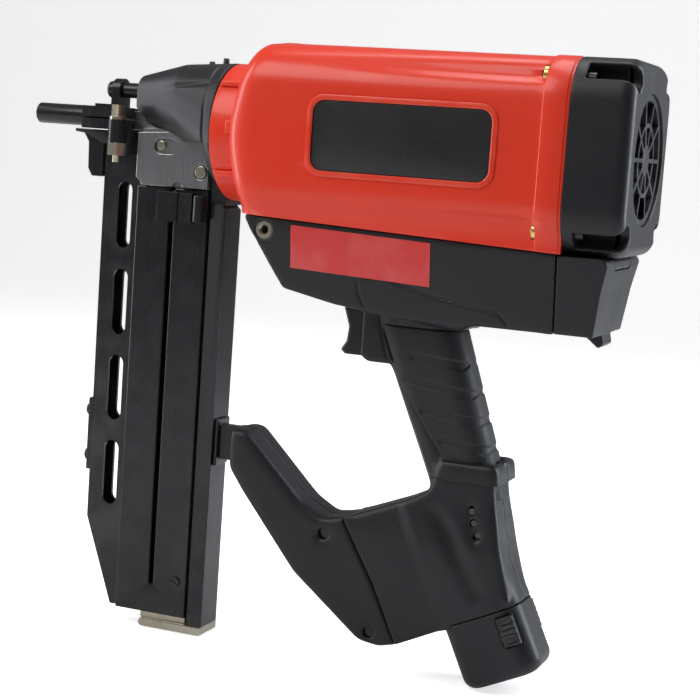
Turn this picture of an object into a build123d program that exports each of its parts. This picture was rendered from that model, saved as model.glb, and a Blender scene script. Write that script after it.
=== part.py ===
"""Gas fencing stapler: a combustion-driven nailer for U-shaped wire staples.

Millimetres. Working frame: X runs back along the tool (the muzzle is at -X), Y runs across it, Z is up.
X = 0 is the joint between the cylinder housing and its rear cap, and Z = 0 is the housing's mid-height.
Every node is moved at the end, so that the origin is at the middle of the tool's footprint.
"""

from build123d import *
import math
import os

os.makedirs("parts", exist_ok=True)

# ---------------------------------------------------------------- driving dimensions
housing_length = 231.0
housing_width = 107.0
housing_height = 114.0
housing_corner = 30.0
housing_wall = 3.0
neck_radius = 44.0
neck_length = 27.0
skirt_width = 92.0
split_front_z = -49.5  # the joint between housing and handle slopes down to the back
split_rear_z = -57.0
cap_depth = 37.0
cap_corner = 27.0
grille_radius = 39.0
grille_thickness = 3.0
filter_thickness = 6.0

drive_z = 4.5  # height of the cylinder, the driver and the contact tube
bore_radius = 19.0
cylinder_length = 100.0
cylinder_wall = 4.0
fin_radius = 33.0
fin_pitch = 8.0
fin_thickness = 2.5
chamber_radius = 42.0
chamber_wall = 2.5
chamber_length = 70.0
piston_length = 10.0
piston_gap = 0.05
piston_rest_gap = 4.0  # between the resting piston and the cylinder's rear face
blade_width = 10.6
blade_thickness = 3.0
bumper_length = 5.5

foot_travel = 8.0
tube_radius = 6.8
tube_bore = 5.7
tube_length = 37.0
tube_reach = 56.0  # from the magazine's front edge forward to the muzzle
rod_radius = 5.0
rod_rise = 18.3  # of the link rod above the drive line

nose_setback = 9.0  # from the magazine's front edge back to the driver guide
nose_half_width = 15.0
nose_bottom_z = -38.0
side_plate_thickness = 2.0
staple_gap = 11.4  # clear width for a staple's crown

cover_setback = 24.0  # from the magazine's front edge back to the nose cover
cover_front_width = 27.0
cover_front_height = 30.0
cover_front_z = 18.0
cover_wall = 2.5

guide_depth = 27.0
guide_thickness = 2.0
channel_depth = 52.0
channel_half_width = 13.0
channel_wall = 2.5
rail_depth = 11.0
rail_joint = 1.5  # between the channel and the rear rail
rail_half_width = 11.5
slot_count = 4
slot_width = 11.0
slot_length = 44.0
slot_pitch = 58.0
first_slot_drop = 20.5  # from the channel's top to the middle of the first slot
foot_plate_thickness = 5.5
stand_height = 333.0  # from the drive frame's Z = 0 down to the surface the tool stands on

shell_wall = 3.0
body_width_top = 88.0
body_width_bottom = 72.0
body_rear_x = -3.0
body_floor_z = -105.0
grip_width = 36.0
grip_angle = 19.0
grip_rear_n = -100.0  # the grip's straight rear line, across the grip's own axis
base_width = 44.0
cover_skin = 2.5

arm_width = 36.0
arm_wall = 3.0

battery_angle = 25.5
battery_depth = 52.6
battery_width = 46.0
battery_corner = 14.0
battery_seam = 241.0  # distance of the battery's seam along its axis
battery_centre = -158.4  # place of the battery's axis across that axis
battery_plug_length = 46.0

trigger_travel = 7.0
trigger_width = 18.0
fuel_cell_radius = 16.5
fuel_cell_length = 96.0
button_travel = 2.0

panel_length = 112.0
panel_height = 42.0
panel_centre_x = -101.0
panel_centre_z = 2.0
panel_depth = 1.6

insert_setback = 14.0  # from the housing's front face back to the hook insert
insert_z = -58.5
insert_bore = 2.6
insert_length = 10.0
insert_corner = 6.0

gap = 0.3  # clearance between pieces that move past each other
fit = 0.05  # running clearance of a shaft in its hole

# ---------------------------------------------------------------- places worked out from them
half_width = housing_width / 2
neck_x = -housing_length
body_x = neck_x + neck_length
insert_x = body_x + insert_setback
insert_front_y = -body_width_top / 2 + 1.5
rail_rear_x = neck_x - 0.5
channel_rear_x = rail_rear_x - rail_depth - rail_joint
channel_front_x = channel_rear_x - channel_depth
guide_rear_x = channel_front_x - 1.0
magazine_front_x = guide_rear_x - guide_depth
nose_front_x = magazine_front_x + nose_setback
cover_front_x = magazine_front_x + cover_setback
tube_front_x = magazine_front_x - tube_reach
arm_front_x = rail_rear_x + 14.5
channel_top_z = nose_bottom_z - 0.5
first_slot_z = channel_top_z - first_slot_drop
floor_z = -stand_height
rail_bottom_z = floor_z + foot_plate_thickness
rod_z = drive_z + rod_rise
fuel_cell_z = body_floor_z + shell_wall + fuel_cell_radius + 1.5
cylinder_front_x = neck_x + 19.0
cylinder_rear_x = cylinder_front_x + cylinder_length
driver_stroke = cylinder_length - piston_rest_gap - piston_length - bumper_length - 0.5
piston_front_x = cylinder_rear_x - piston_rest_gap - piston_length
blade_rest_x = guide_rear_x + 9.0  # just behind the crown of the next staple
chamber_front_x = cylinder_rear_x - 6.0
chamber_rear_x = chamber_front_x + chamber_length
head_front_x = chamber_rear_x + 2.0
head_thickness = 12.0
head_rear_x = head_front_x + head_thickness
split_slope = (split_rear_z - split_front_z) / (body_rear_x - body_x)
base_cos = math.cos(math.radians(battery_angle))
base_sin = math.sin(math.radians(battery_angle))
battery_foot_radius = 8.0
battery_low_n = battery_centre - battery_depth / 2 + battery_foot_radius
battery_bottom = (base_sin * battery_low_n - battery_foot_radius + stand_height) / base_cos
battery_bottom += battery_foot_radius


def split_z(x):
    """Height of the housing-to-handle joint at x."""
    return split_front_z + split_slope * (x - body_x)


# ---------------------------------------------------------------- small helpers
def block(x0, x1, y0, y1, z0, z1):
    centre = Pos((x0 + x1) / 2, (y0 + y1) / 2, (z0 + z1) / 2)
    return centre * Box(x1 - x0, y1 - y0, z1 - z0)


def rod_x(x0, x1, radius, y=0.0, z=0.0):
    return extrude(Plane.YZ.offset(x0) * (Pos(y, z) * Circle(radius)), amount=x1 - x0)


def rod_y(y0, y1, radius, x=0.0, z=0.0):
    return extrude(Plane.XZ.offset(-y1) * (Pos(x, z) * Circle(radius)), amount=y1 - y0)


def rod_z_axis(z0, z1, radius, x=0.0, y=0.0):
    return extrude(Plane.XY.offset(z0) * (Pos(x, y) * Circle(radius)), amount=z1 - z0)


def rounded_x(x0, x1, width, height, radius, z=0.0):
    section = Pos(0, z) * RectangleRounded(width, height, radius)
    return extrude(Plane.YZ.offset(x0) * section, amount=x1 - x0)


def side_prism(outline, half):
    """Extrudes an XZ outline sketch to half on each side of the mid-plane."""
    return extrude(Plane.XZ.offset(-half) * outline, amount=2 * half)


def outline_of(points):
    return make_face(Polyline(*points, close=True))


def inset_points(points, inset):
    """A closed outline moved inwards by inset, with each corner where its two moved edges meet."""
    doubled_area = 0.0
    for (ax, az), (bx, bz) in zip(points, points[1:] + points[:1]):
        doubled_area += ax * bz - bx * az
    turn = 1.0 if doubled_area > 0 else -1.0
    edges = []
    for (ax, az), (bx, bz) in zip(points, points[1:] + points[:1]):
        length = math.hypot(bx - ax, bz - az)
        ux, uz = (bx - ax) / length, (bz - az) / length
        edges.append((ax - turn * uz * inset, az + turn * ux * inset, ux, uz))
    moved = []
    for (px, pz, pu, pw), (qx, qz, qu, qw) in zip(edges[-1:] + edges[:-1], edges):
        cross = pu * qw - pw * qu
        share = ((qx - px) * qw - (qz - pz) * qu) / cross
        moved.append((px + share * pu, pz + share * pw))
    return moved


def half_of(shape, side):
    """The left (side -1) or right (side +1) half of a shape that is symmetrical about the mid-plane."""
    reach = 500.0
    keep = block(-reach, reach, min(0, side * reach), max(0, side * reach), -reach, reach)
    return shape & keep


def tilted(angle):
    """A frame whose local x lies across a tilted limb and whose local y lies along it, going down."""
    cos_a = math.cos(math.radians(angle))
    sin_a = math.sin(math.radians(angle))
    return Plane(origin=(0, 0, 0), x_dir=(cos_a, 0, sin_a), z_dir=(sin_a, 0, -cos_a))


def limb_section(angle, distance, centre, depth, width, radius):
    """A rounded rectangle across a tilted limb, at a distance along its axis."""
    plane = tilted(angle).offset(distance)
    return plane * (Pos(centre, 0) * RectangleRounded(depth, width, radius))


def hex_prism(plane, flats, height):
    return extrude(plane * RegularPolygon(flats / 2, 6, major_radius=False), amount=height)


def coil(radius, wire, pitch, height, plane):
    path = plane * Helix(pitch, height, radius)
    section = Plane(origin=path @ 0, z_dir=path % 0) * Circle(wire)
    return sweep(section, path=path, is_frenet=True)


# ---------------------------------------------------------------- red cylinder housing
boss_y = housing_width / 2 - 12.5
boss_z = housing_height / 2 - 13.0
insert_radius = 3.2
screw_radius = 2.5
front_round = 6.0
neck_rib_heights = (-26.0, 30.0)
corner_places = [(sy * boss_y, sz * boss_z) for sy in (-1, 1) for sz in (-1, 1)]


def housing_envelope(inset):
    """The housing's outside or, when inset by the wall, its hollow, which runs out of both open ends."""
    overrun = 1.0 if inset else 0.0
    neck = rod_x(neck_x - overrun, body_x + 2 * inset, neck_radius - inset)
    barrel = rounded_x(
        body_x + inset,
        overrun,
        housing_width - 2 * inset,
        housing_height - 2 * inset,
        housing_corner - inset,
    )
    return neck + barrel


def below_split(depth):
    """Everything under the joint between housing and handle."""
    x0, x1 = neck_x - 40, cap_depth + 40
    points = [(x0, split_z(x0)), (x1, split_z(x1)), (x1, split_z(x1) - depth), (x0, split_z(x0) - depth)]
    return side_prism(outline_of(points), 80)


def make_main_housing():
    envelope = housing_envelope(0)
    barrel_only = envelope - rod_x(neck_x - 1, body_x, neck_radius + 1)
    rim = barrel_only.edges().filter_by(lambda e: abs(e.center().X - body_x) < 0.01 and e.length > 25)
    outer = fillet(rim, front_round) if rim else barrel_only
    outer += rod_x(neck_x, body_x + 1, neck_radius)
    skirt = block(body_x, body_rear_x, -skirt_width / 2, skirt_width / 2, split_rear_z - 5, -30)
    outer += skirt
    shell = outer - housing_envelope(housing_wall) - below_split(60)
    skirt_bay = block(
        body_x + housing_wall,
        body_rear_x - housing_wall,
        -skirt_width / 2 + housing_wall,
        skirt_width / 2 - housing_wall,
        split_rear_z - 5,
        -30,
    )
    shell -= skirt_bay
    for side in (-1, 1):
        recess = Pos(panel_centre_x, panel_centre_z) * RectangleRounded(panel_length, panel_height, 7)
        plane = Plane.XZ.offset(half_width - panel_depth) if side < 0 else Plane.XZ.offset(-half_width)
        shell -= extrude(plane * recess, amount=panel_depth)
    for y, z in corner_places:
        shell += rod_x(-16, 0, 6.5, y, z) & housing_envelope(0)
        shell -= rod_x(-14, 1, insert_radius, y, z)
    for z in neck_rib_heights:
        for side in (-1, 1):
            y = math.sqrt(neck_radius**2 - z**2)
            rib = block(neck_x + 2, body_x + 4, side * y - 1.5, side * y + 1.5, z - 1.5, z + 1.5)
            shell += rib
    return shell


def make_badge(side):
    inset = 0.2
    sketch = Pos(panel_centre_x, panel_centre_z) * RectangleRounded(
        panel_length - 2 * inset, panel_height - 2 * inset, 6.8
    )
    y_outer = half_width - 0.1
    plane = Plane.XZ.offset(y_outer - 1.5) if side < 0 else Plane.XZ.offset(-y_outer)
    return extrude(plane * sketch, amount=1.5)


def make_inserts():
    solids = []
    for y, z in corner_places:
        solids.append(rod_x(-13, 0, insert_radius, y, z) - rod_x(-14, 1, screw_radius, y, z))
    return solids


def make_cap_screws():
    solids = []
    for y, z in corner_places:
        shank = rod_x(-10, cap_web_x, screw_radius, y, z)
        head = rod_x(cap_web_x, cap_web_x + 5, 4.2, y, z)
        socket = hex_prism(Plane(origin=(cap_web_x + 2.5, y, z), z_dir=(1, 0, 0)), 4.0, 3)
        solids.append(shank + head - socket)
    return solids


# ---------------------------------------------------------------- rear cap
cap_web_x = 7.0


def make_rear_cap():
    outer = rounded_x(0, cap_depth, housing_width + 1, housing_height + 1, cap_corner)
    rear = outer.faces().sort_by(Axis.X)[-1]
    outer = fillet(rear.edges(), 8.0)
    inner_wide = rounded_x(
        3, cap_depth - 6, housing_width - 5, housing_height - 5, cap_corner - 3
    )
    pockets = []
    for y, z in corner_places:
        angle = math.degrees(math.atan2(z, y))
        slot = Pos(y, z) * Rot(0, 0, angle) * (Pos(12, 0) * RectangleRounded(37, 13, 6.4))
        pockets.append(extrude(Plane.YZ.offset(cap_web_x) * slot, amount=cap_depth))
    walls = []
    for y, z in corner_places:
        walls.append(rod_x(0, cap_depth - 8, 9.0, y, z))
    shell = outer - inner_wide
    for wall in walls:
        shell += wall & outer
    shell -= rod_x(-1, cap_depth + 1, grille_radius + 0.2)
    for pocket in pockets:
        shell -= pocket
    for y, z in corner_places:
        shell -= rod_x(-1, cap_web_x + 1, screw_radius + 0.2, y, z)
    ledge = rod_x(cap_depth - 8, cap_depth - 5, grille_radius + 3)
    ledge -= rod_x(cap_depth - 9, cap_depth - 4, grille_radius - 3)
    return shell + ledge


def make_grille():
    x0 = cap_depth - 5
    x1 = x0 + grille_thickness
    grille = rod_x(x0, x1, grille_radius) - rod_x(x0, x1, grille_radius - 4)
    grille += rod_x(x0, x1, 22) - rod_x(x0, x1, 19.5)
    grille += rod_x(x0, x1, 9)
    for i in range(10):
        spoke = block(x0, x1, 7, grille_radius - 2, -1.2, 1.2)
        grille += Rot(36 * i, 0, 0) * spoke
    return grille


def make_air_filter():
    x1 = cap_depth - 8.0
    return rod_x(x1 - filter_thickness, x1, grille_radius) - rod_x(0, 60, 16)


# ---------------------------------------------------------------- engine
def make_cylinder():
    x0, x1 = cylinder_front_x, cylinder_rear_x
    body = rod_x(x0, x1, bore_radius + cylinder_wall, z=drive_z)
    flange = rod_x(x0, x0 + 4, neck_radius - housing_wall - 0.5)
    body += flange
    fin_count = int((x1 - x0 - 24) // fin_pitch)
    for i in range(fin_count):
        x = x0 + 12 + i * fin_pitch
        body += rod_x(x, x + fin_thickness, fin_radius, z=drive_z)
    bore = rod_x(x0 - 1, x1 + 1, bore_radius, z=drive_z)
    body -= bore
    for side in (-1, 1):
        notch_y = sorted((side * (bar_inner_y - 1.0), side * 60.0))
        body -= block(x0 - 1, x0 + 5, notch_y[0], notch_y[1], drive_z - 8, drive_z + 8)
    return body


bar_thickness = 2.5
bar_height = 12.0
bar_inner_y = 33.8
yoke_x = neck_x - 5.0
yoke_thickness = 4.0


def make_chamber():
    x0, x1 = chamber_front_x, chamber_rear_x
    sleeve = rod_x(x0, x1, chamber_radius, z=drive_z)
    sleeve -= rod_x(x0 + 3, x1 + 1, chamber_radius - chamber_wall, z=drive_z)
    sleeve -= rod_x(x0 - 1, x0 + 4, bore_radius + cylinder_wall + gap, z=drive_z)
    return sleeve


def make_linkage():
    """A yoke behind the nose cover, and two flat bars that reach back past the cylinder to the chamber."""
    yoke = rod_x(yoke_x, yoke_x + yoke_thickness, bar_inner_y + bar_thickness, z=drive_z)
    yoke -= rod_x(yoke_x - 1, yoke_x + yoke_thickness + 1, 22, z=drive_z)
    yoke -= block(yoke_x - 1, yoke_x + 5, -60, 60, -60, drive_z - bar_height / 2)
    outer_wall = rod_x(yoke_x - 1, yoke_x + 6, neck_radius - housing_wall - 1.0)
    yoke = (yoke & outer_wall) + rod_x(yoke_x, yoke_x + yoke_thickness, 7.0, z=rod_z)
    yoke -= rod_x(yoke_x - 1, yoke_x + 6, 2.5, z=rod_z)
    for side in (-1, 1):
        y0, y1 = sorted((side * bar_inner_y, side * (bar_inner_y + bar_thickness)))
        low, high = drive_z - bar_height / 2, drive_z + bar_height / 2
        yoke += block(yoke_x, chamber_front_x, y0, y1, low, high)
    return yoke


def make_piston():
    return rod_x(piston_front_x, piston_front_x + piston_length, bore_radius - piston_gap, z=drive_z)


def make_blade():
    return block(
        blade_rest_x,
        piston_front_x,
        -blade_width / 2,
        blade_width / 2,
        drive_z - blade_thickness / 2,
        drive_z + blade_thickness / 2,
    )


def make_bumper():
    x0 = cylinder_front_x
    ring = rod_x(x0, x0 + bumper_length, bore_radius, z=drive_z)
    return ring - rod_x(x0 - 1, x0 + 20, 8, z=drive_z)


fan_x = head_front_x - 14.0
shaft_radius = 2.0


def make_head():
    disc = rod_x(head_front_x, head_rear_x, chamber_radius - chamber_wall - gap, z=drive_z)
    arm = block(
        head_rear_x - 5, head_rear_x, -half_width + housing_wall, half_width - housing_wall, -10, 10
    )
    head = disc + arm
    head -= rod_x(head_front_x - 1, head_rear_x + 1, shaft_radius + fit, z=drive_z)
    return head - rod_x(head_front_x - 1, head_rear_x + 1, 5, y=24, z=drive_z)


def make_fan():
    hub = rod_x(fan_x, fan_x + 8, 6, z=drive_z)
    shaft = rod_x(fan_x, head_rear_x + 8, shaft_radius, z=drive_z)
    fan = hub + shaft
    for i in range(4):
        blade = block(fan_x + 1, fan_x + 7, -1, 1, 4, 26)
        pitched = Pos(fan_x + 4, 0, 0) * Rot(0, 0, 35) * Pos(-fan_x - 4, 0, 0) * blade
        fan += Pos(0, 0, drive_z) * Rot(90 * i, 0, 0) * pitched
    return fan


def make_motor():
    case = rod_x(head_rear_x, head_rear_x + 34, 14, z=drive_z)
    return case - rod_x(head_rear_x - 1, head_rear_x + 9, shaft_radius + 1.0, z=drive_z)


def make_spark_plug():
    return rod_x(head_front_x - 6, head_rear_x + 14, 5, y=24, z=drive_z)


# ---------------------------------------------------------------- nose
nose_flange_x = cylinder_front_x - 7.0
guide_half = staple_gap / 2 + 2.8
guide_roof_z = drive_z + 5.0
cross_pin_place = (channel_rear_x - 5.5, -27.0)
spacer_place = (channel_front_x + 17.0, -11.5)
window_centre = (channel_front_x + 20.5, -12.0)
drain_x = channel_front_x + 30.0
cross_pin_radius = 4.0
spacer_radius = 3.0


def make_nose_block():
    """The steel driver guide: a channel for the driver and the staple, open below for the magazine."""
    half = nose_half_width - side_plate_thickness
    guide = block(nose_front_x, channel_rear_x, -guide_half, guide_half, -3, guide_roof_z)
    core = block(guide_rear_x + 3, channel_rear_x, -half, half, nose_bottom_z, -1)
    neck = block(channel_rear_x, nose_flange_x, -17, 17, -22, 15)
    flange = rod_x(nose_flange_x, cylinder_front_x, neck_radius - housing_wall - 0.5)
    for side in (-1, 1):
        y0, y1 = sorted((side * (bar_inner_y - 1.0), side * 60.0))
        flange -= block(nose_flange_x - 1, cylinder_front_x + 1, y0, y1, drive_z - 8, drive_z + 8)
    nose = guide + core + neck + flange
    channel = block(
        nose_front_x - 1,
        cylinder_front_x + 1,
        -staple_gap / 2,
        staple_gap / 2,
        drive_z - blade_thickness / 2 - gap,
        drive_z + blade_thickness / 2 + gap,
    )
    feed = block(
        nose_front_x - 1, channel_front_x + 10, -staple_gap / 2, staple_gap / 2, nose_bottom_z - 1, drive_z
    )
    nose = nose - channel - feed
    return nose - rod_x(nose_flange_x - 1, cylinder_front_x + 1, 2.0, z=rod_z)


def make_side_plate(side):
    x0, x1 = channel_front_x - 0.5, channel_rear_x
    points = [(x0, -4), (x0, -33), (x0 + 6, nose_bottom_z), (x1, nose_bottom_z), (x1, -8), (x1 - 8, -1)]
    outer_y = nose_half_width if side > 0 else -nose_half_width + side_plate_thickness
    face = Plane.XZ.offset(-outer_y) * outline_of(points)
    plate = extrude(face, amount=side_plate_thickness)
    plate -= side_prism(Pos(*window_centre) * RectangleRounded(17, 10, 4.9), 40)
    pin_x, pin_z = cross_pin_place
    plate -= rod_y(-40, 40, cross_pin_radius + 0.9, x=pin_x, z=pin_z)
    return plate - rod_y(-40, 40, 3.5, x=drain_x, z=nose_bottom_z)


def make_nose_pins():
    cross_x, cross_z = cross_pin_place
    spacer_x, spacer_z = spacer_place
    cross_half = nose_half_width + 0.6
    spacer_half = nose_half_width + 0.4
    cross = rod_y(-cross_half, cross_half, cross_pin_radius, x=cross_x, z=cross_z)
    spacer = rod_y(-spacer_half, spacer_half, spacer_radius, x=spacer_x, z=spacer_z)
    half = nose_half_width - side_plate_thickness
    between = block(magazine_front_x, neck_x, -half, half, -100, 100)
    solids = []
    for pin in (cross, spacer):
        for side in (-1, 1):
            solids.append(half_of(pin, side) - between)
    return solids


def make_muzzle_bracket():
    """The dark plate in front of the magazine, with a thin ledge and a gusset under the contact tube."""
    x = magazine_front_x
    top = bracket_low_z - 0.6
    lip = [(x - 23, top), (x - 23, top - 2), (x - 16, top - 2.8), (x - 12.5, top - 8.3), (x - 12, -30)]
    lip += [(x - 9, -35), (x - 1, -35), (x - 1, -13), (x + 9.5, -13), (x + 9.5, top)]
    bracket = side_prism(outline_of(lip), 9.5)
    return bracket - block(x - 6, x + 24, -staple_gap / 2, staple_gap / 2, -60, 0)


cover_sections = [
    (cover_front_x, cover_front_z, cover_front_width, cover_front_height, 11.0),
    (cover_front_x + 34.0, 17.0, 56.0, 49.0, 21.0),
    (neck_x, 2.0, 84.0, 84.0, 38.0),
]


def nose_cover_solid(inset):
    """A wedge that widens from the link rod to the round neck of the housing."""
    sections = []
    for x, z, width, height, corner in cover_sections:
        shape = RectangleRounded(width - 2 * inset, height - 2 * inset, corner - inset)
        sections.append(Plane.YZ.offset(x) * (Pos(0, z) * shape))
    return loft(sections[:2]) + loft(sections[1:])


def make_nose_cover():
    outer = nose_cover_solid(0)
    lower = block(cover_front_x - 10, neck_x + 1, -60, 60, -60, -8)
    rear_low = block(neck_x - 8, neck_x, -40, 40, -40, -8) & outer
    shell = (outer - lower) - nose_cover_solid(cover_wall)
    shell += rear_low - nose_cover_solid(cover_wall)
    plate_y = nose_half_width + gap
    shell -= block(cover_front_x - 1, neck_x + 1, -plate_y, plate_y, -60, -0.7)
    shell -= block(neck_x - 14, neck_x + 1, -12.5, 12.5, -60, -20)
    shell -= rod_x(cover_front_x - 5, cover_front_x + 20, rod_radius + 0.8, z=rod_z)
    guide_y = guide_half + gap
    shell -= block(cover_front_x - 1, cover_front_x + 40, -guide_y, guide_y, -10, guide_roof_z + gap)
    cheek_y = cheek_outer_y + 0.5
    cheek_end = cheek_rear_x + foot_travel + 1.5
    return shell - block(cover_front_x - 1, cheek_end, -cheek_y, cheek_y, -10, bracket_top_z + 0.5)


# ---------------------------------------------------------------- work contact
tube_z = drive_z
bracket_front_x = tube_front_x + tube_length
socket_radius = tube_radius - 0.5  # of the tube's rear end, where it is clamped
bracket_half = tube_radius + 3.2
bracket_low_z = tube_z - tube_radius - 1.3
bracket_top_z = tube_z + tube_radius - 0.1
cheek_inner_y = guide_half + 0.9
cheek_outer_y = cheek_inner_y + 3.2
clamp_x = magazine_front_x + 16.0
clamp_y = -22.0
cheek_rear_x = clamp_x + 5.0
rod_front_x = magazine_front_x + 8.0
tab_front_x = rod_front_x - 6.0
bridge_front_x = magazine_front_x - 10.0
link_screw_radius = 2.5


def make_contact_tube():
    outer = rod_x(tube_front_x, bracket_front_x, tube_radius, z=tube_z)
    front = outer.faces().sort_by(Axis.X)[0]
    outer = chamfer(front.edges(), 0.8)
    outer += rod_x(bracket_front_x, bracket_front_x + 8, socket_radius, z=tube_z)
    return outer - rod_x(tube_front_x - 1, bracket_front_x + 11, tube_bore, z=tube_z)


def make_contact_bracket():
    """Clamps the tube, passes each side of the driver guide, and rises to the link rod's end."""
    rear_x = magazine_front_x - 0.5
    body = block(bracket_front_x + 1, rear_x, -bracket_half, bracket_half, bracket_low_z, bracket_top_z)
    body -= rod_x(bracket_front_x, magazine_front_x, socket_radius, z=tube_z)
    for side in (-1, 1):
        y0, y1 = sorted((side * cheek_inner_y, side * cheek_outer_y))
        body += block(bridge_front_x, cheek_rear_x, y0, y1, bracket_low_z, bracket_top_z)
    body += block(clamp_x - 5, clamp_x + 5, clamp_y, -cheek_inner_y, -3.4, 2.8)
    body += rod_z_axis(-12.0, 3.0, 6.0, clamp_x, clamp_y)
    body -= block(bracket_front_x, clamp_x + 6, -40, -tube_bore, 3.0, 4.2)
    body -= rod_z_axis(-30, 20, link_screw_radius + fit, clamp_x, clamp_y)
    tab_low_z = bracket_top_z - 0.7
    tab = block(tab_front_x, rod_front_x, -7.5, 7.5, tab_low_z, rod_z)
    tab += rod_x(tab_front_x, rod_front_x, 7.5, z=rod_z)
    body += block(bridge_front_x, tab_front_x, -7.5, 7.5, tab_low_z, tab_low_z + 2.5)
    body += tab
    return body - rod_x(tab_front_x - 8, rod_front_x + 6, link_screw_radius + fit, z=rod_z)


def make_clamp_bolt():
    head = hex_prism(Plane.XY.offset(5.0).move(Location((clamp_x, clamp_y, 0))), 8.6, 7.5)
    washer = rod_z_axis(3.0, 5.0, 5.4, clamp_x, clamp_y)
    shank = rod_z_axis(-24.5, 5.0, link_screw_radius, clamp_x, clamp_y)
    return head + washer + shank


def make_clamp_nut():
    plane = Plane.XY.offset(-20.0).move(Location((clamp_x, clamp_y, 0)))
    return hex_prism(plane, 11.5, 8.0) - rod_z_axis(-21, -11, link_screw_radius, clamp_x, clamp_y)


def make_link_rod():
    rod = rod_x(rod_front_x, yoke_x, rod_radius, z=rod_z)
    return rod - rod_x(rod_front_x - 1, rod_front_x + 12, link_screw_radius, z=rod_z)


def make_bracket_screw():
    head = rod_x(tab_front_x - 5.5, tab_front_x, 5.6, z=rod_z)
    rim = head.faces().sort_by(Axis.X)[0]
    head = fillet(rim.edges(), 2.4)
    socket = hex_prism(Plane(origin=(tab_front_x - 5.6, 0, rod_z), z_dir=(1, 0, 0)), 3.0, 2.5)
    return head + rod_x(tab_front_x, rod_front_x + 10, link_screw_radius, z=rod_z) - socket


def make_return_springs():
    """Two coils between the fixed nose flange and the yoke."""
    height = nose_flange_x - (yoke_x + yoke_thickness)
    solids = []
    for y in (-17.0, 17.0):
        base = Plane(origin=(yoke_x + yoke_thickness + 0.7, y, 24.0), z_dir=(1, 0, 0))
        solids.append(coil(4.0, 0.6, (height - 1.4) / 3, height - 1.4, base))
    return solids


# ---------------------------------------------------------------- magazine
guide_inner_y = staple_gap / 2
guide_outer_y = guide_inner_y + guide_thickness
guide_top_z = -13.5
guide_bottom_z = floor_z + 10.0
guide_chamfer_x = 21.0
guide_chamfer_z = 58.0
groove_end = 20.0  # of the follower's groove, above the channel's bottom
groove_centre_x = (channel_front_x + channel_rear_x) / 2
follower_top_z = channel_top_z - 2.5
follower_height = 19.0
follower_travel = follower_top_z - follower_height - (guide_bottom_z + groove_end) - 8.0
thumb_y = channel_half_width + 9.0


def make_staple_guide(side):
    """A slotted side plate. The staples' legs show through its slots."""
    x0, x1 = magazine_front_x, guide_rear_x
    step_x = nose_front_x + 1.0
    points = [(x0, guide_top_z), (step_x, guide_top_z), (step_x, -3.2), (x1, -3.2), (x1, guide_bottom_z)]
    points += [(x0 + guide_chamfer_x, guide_bottom_z), (x0, guide_bottom_z + guide_chamfer_z)]
    plane_y = guide_outer_y if side > 0 else -guide_inner_y
    plate = extrude(Plane.XZ.offset(-plane_y) * outline_of(points), amount=guide_thickness)
    for i in range(slot_count):
        centre = Pos(x0 + 16.0, first_slot_z - i * slot_pitch)
        slot = centre * Rot(0, 0, 90) * SlotOverall(slot_length, slot_width)
        plate -= side_prism(slot, 30)
    return plate


def make_front_strip():
    """Closes the front of the staple channel above the chamfer of its side plates."""
    x0 = magazine_front_x
    return block(x0, x0 + 2, -guide_inner_y, guide_inner_y, guide_bottom_z + guide_chamfer_z, -40)


def make_front_bracket():
    """A short plate riveted to the front strip."""
    return block(magazine_front_x - 3, magazine_front_x, -guide_outer_y, guide_outer_y, -233, -184)


def make_rivets():
    solids = []
    for z in (-193.0, -224.0):
        dome = rod_x(magazine_front_x - 7.5, magazine_front_x - 3, 4.6, z=z)
        outer = dome.faces().sort_by(Axis.X)[0]
        solids.append(fillet(outer.edges(), 2.5))
    return solids


def make_channel():
    """The rear extrusion. The follower's block stands proud of it in a groove along its whole side."""
    x0, x1 = channel_front_x, channel_rear_x
    outer = block(x0, x1, -channel_half_width, channel_half_width, guide_bottom_z, channel_top_z)
    hollow = block(
        x0 + 14,
        x1 - channel_wall,
        -channel_half_width + channel_wall,
        channel_half_width - channel_wall,
        guide_bottom_z - 1,
        channel_top_z + 1,
    )
    staple_room = block(x0 - 1, x0 + 15, -guide_inner_y, guide_inner_y, guide_bottom_z - 1, channel_top_z + 1)
    channel = outer - hollow - staple_room
    inner_y = -channel_half_width + channel_wall + 1
    groove_bottom_z = guide_bottom_z + groove_end
    groove = block(groove_centre_x - 1.6, groove_centre_x + 1.6, -20, inner_y, groove_bottom_z, 0)
    return channel - groove


def make_rear_rail():
    x0 = channel_rear_x + rail_joint
    points = [(x0, -47), (rail_rear_x - 3, -47), (rail_rear_x, -50), (rail_rear_x, rail_bottom_z)]
    points += [(x0, rail_bottom_z)]
    rail = side_prism(outline_of(points), rail_half_width)
    return rail - block(x0 + 2, rail_rear_x - 2, -9, 9, rail_bottom_z - 1, -60)


def make_rail_spacer():
    """The black block that ties the rail's top to the nose."""
    x0 = channel_rear_x + rail_joint
    return block(x0, rail_rear_x - gap, -12, 12, -47, -22)


def make_foot_plate():
    x0 = channel_front_x + 18
    plate = block(x0, rail_rear_x - 0.5, -channel_half_width, channel_half_width, floor_z, rail_bottom_z)
    return chamfer(plate.faces().sort_by(Axis.X)[0].edges().filter_by(Axis.Y), 1.5)


def make_end_stop():
    """A bar under the channel that keeps the foot plate and the channel together."""
    x0 = channel_front_x + 18
    low, high = rail_bottom_z, guide_bottom_z
    bar = block(x0, channel_rear_x, -channel_half_width + 2.5, channel_half_width - 2.5, low, high)
    return bar + block(channel_rear_x, channel_rear_x + rail_joint, -8, 8, low, high + 60)


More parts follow.
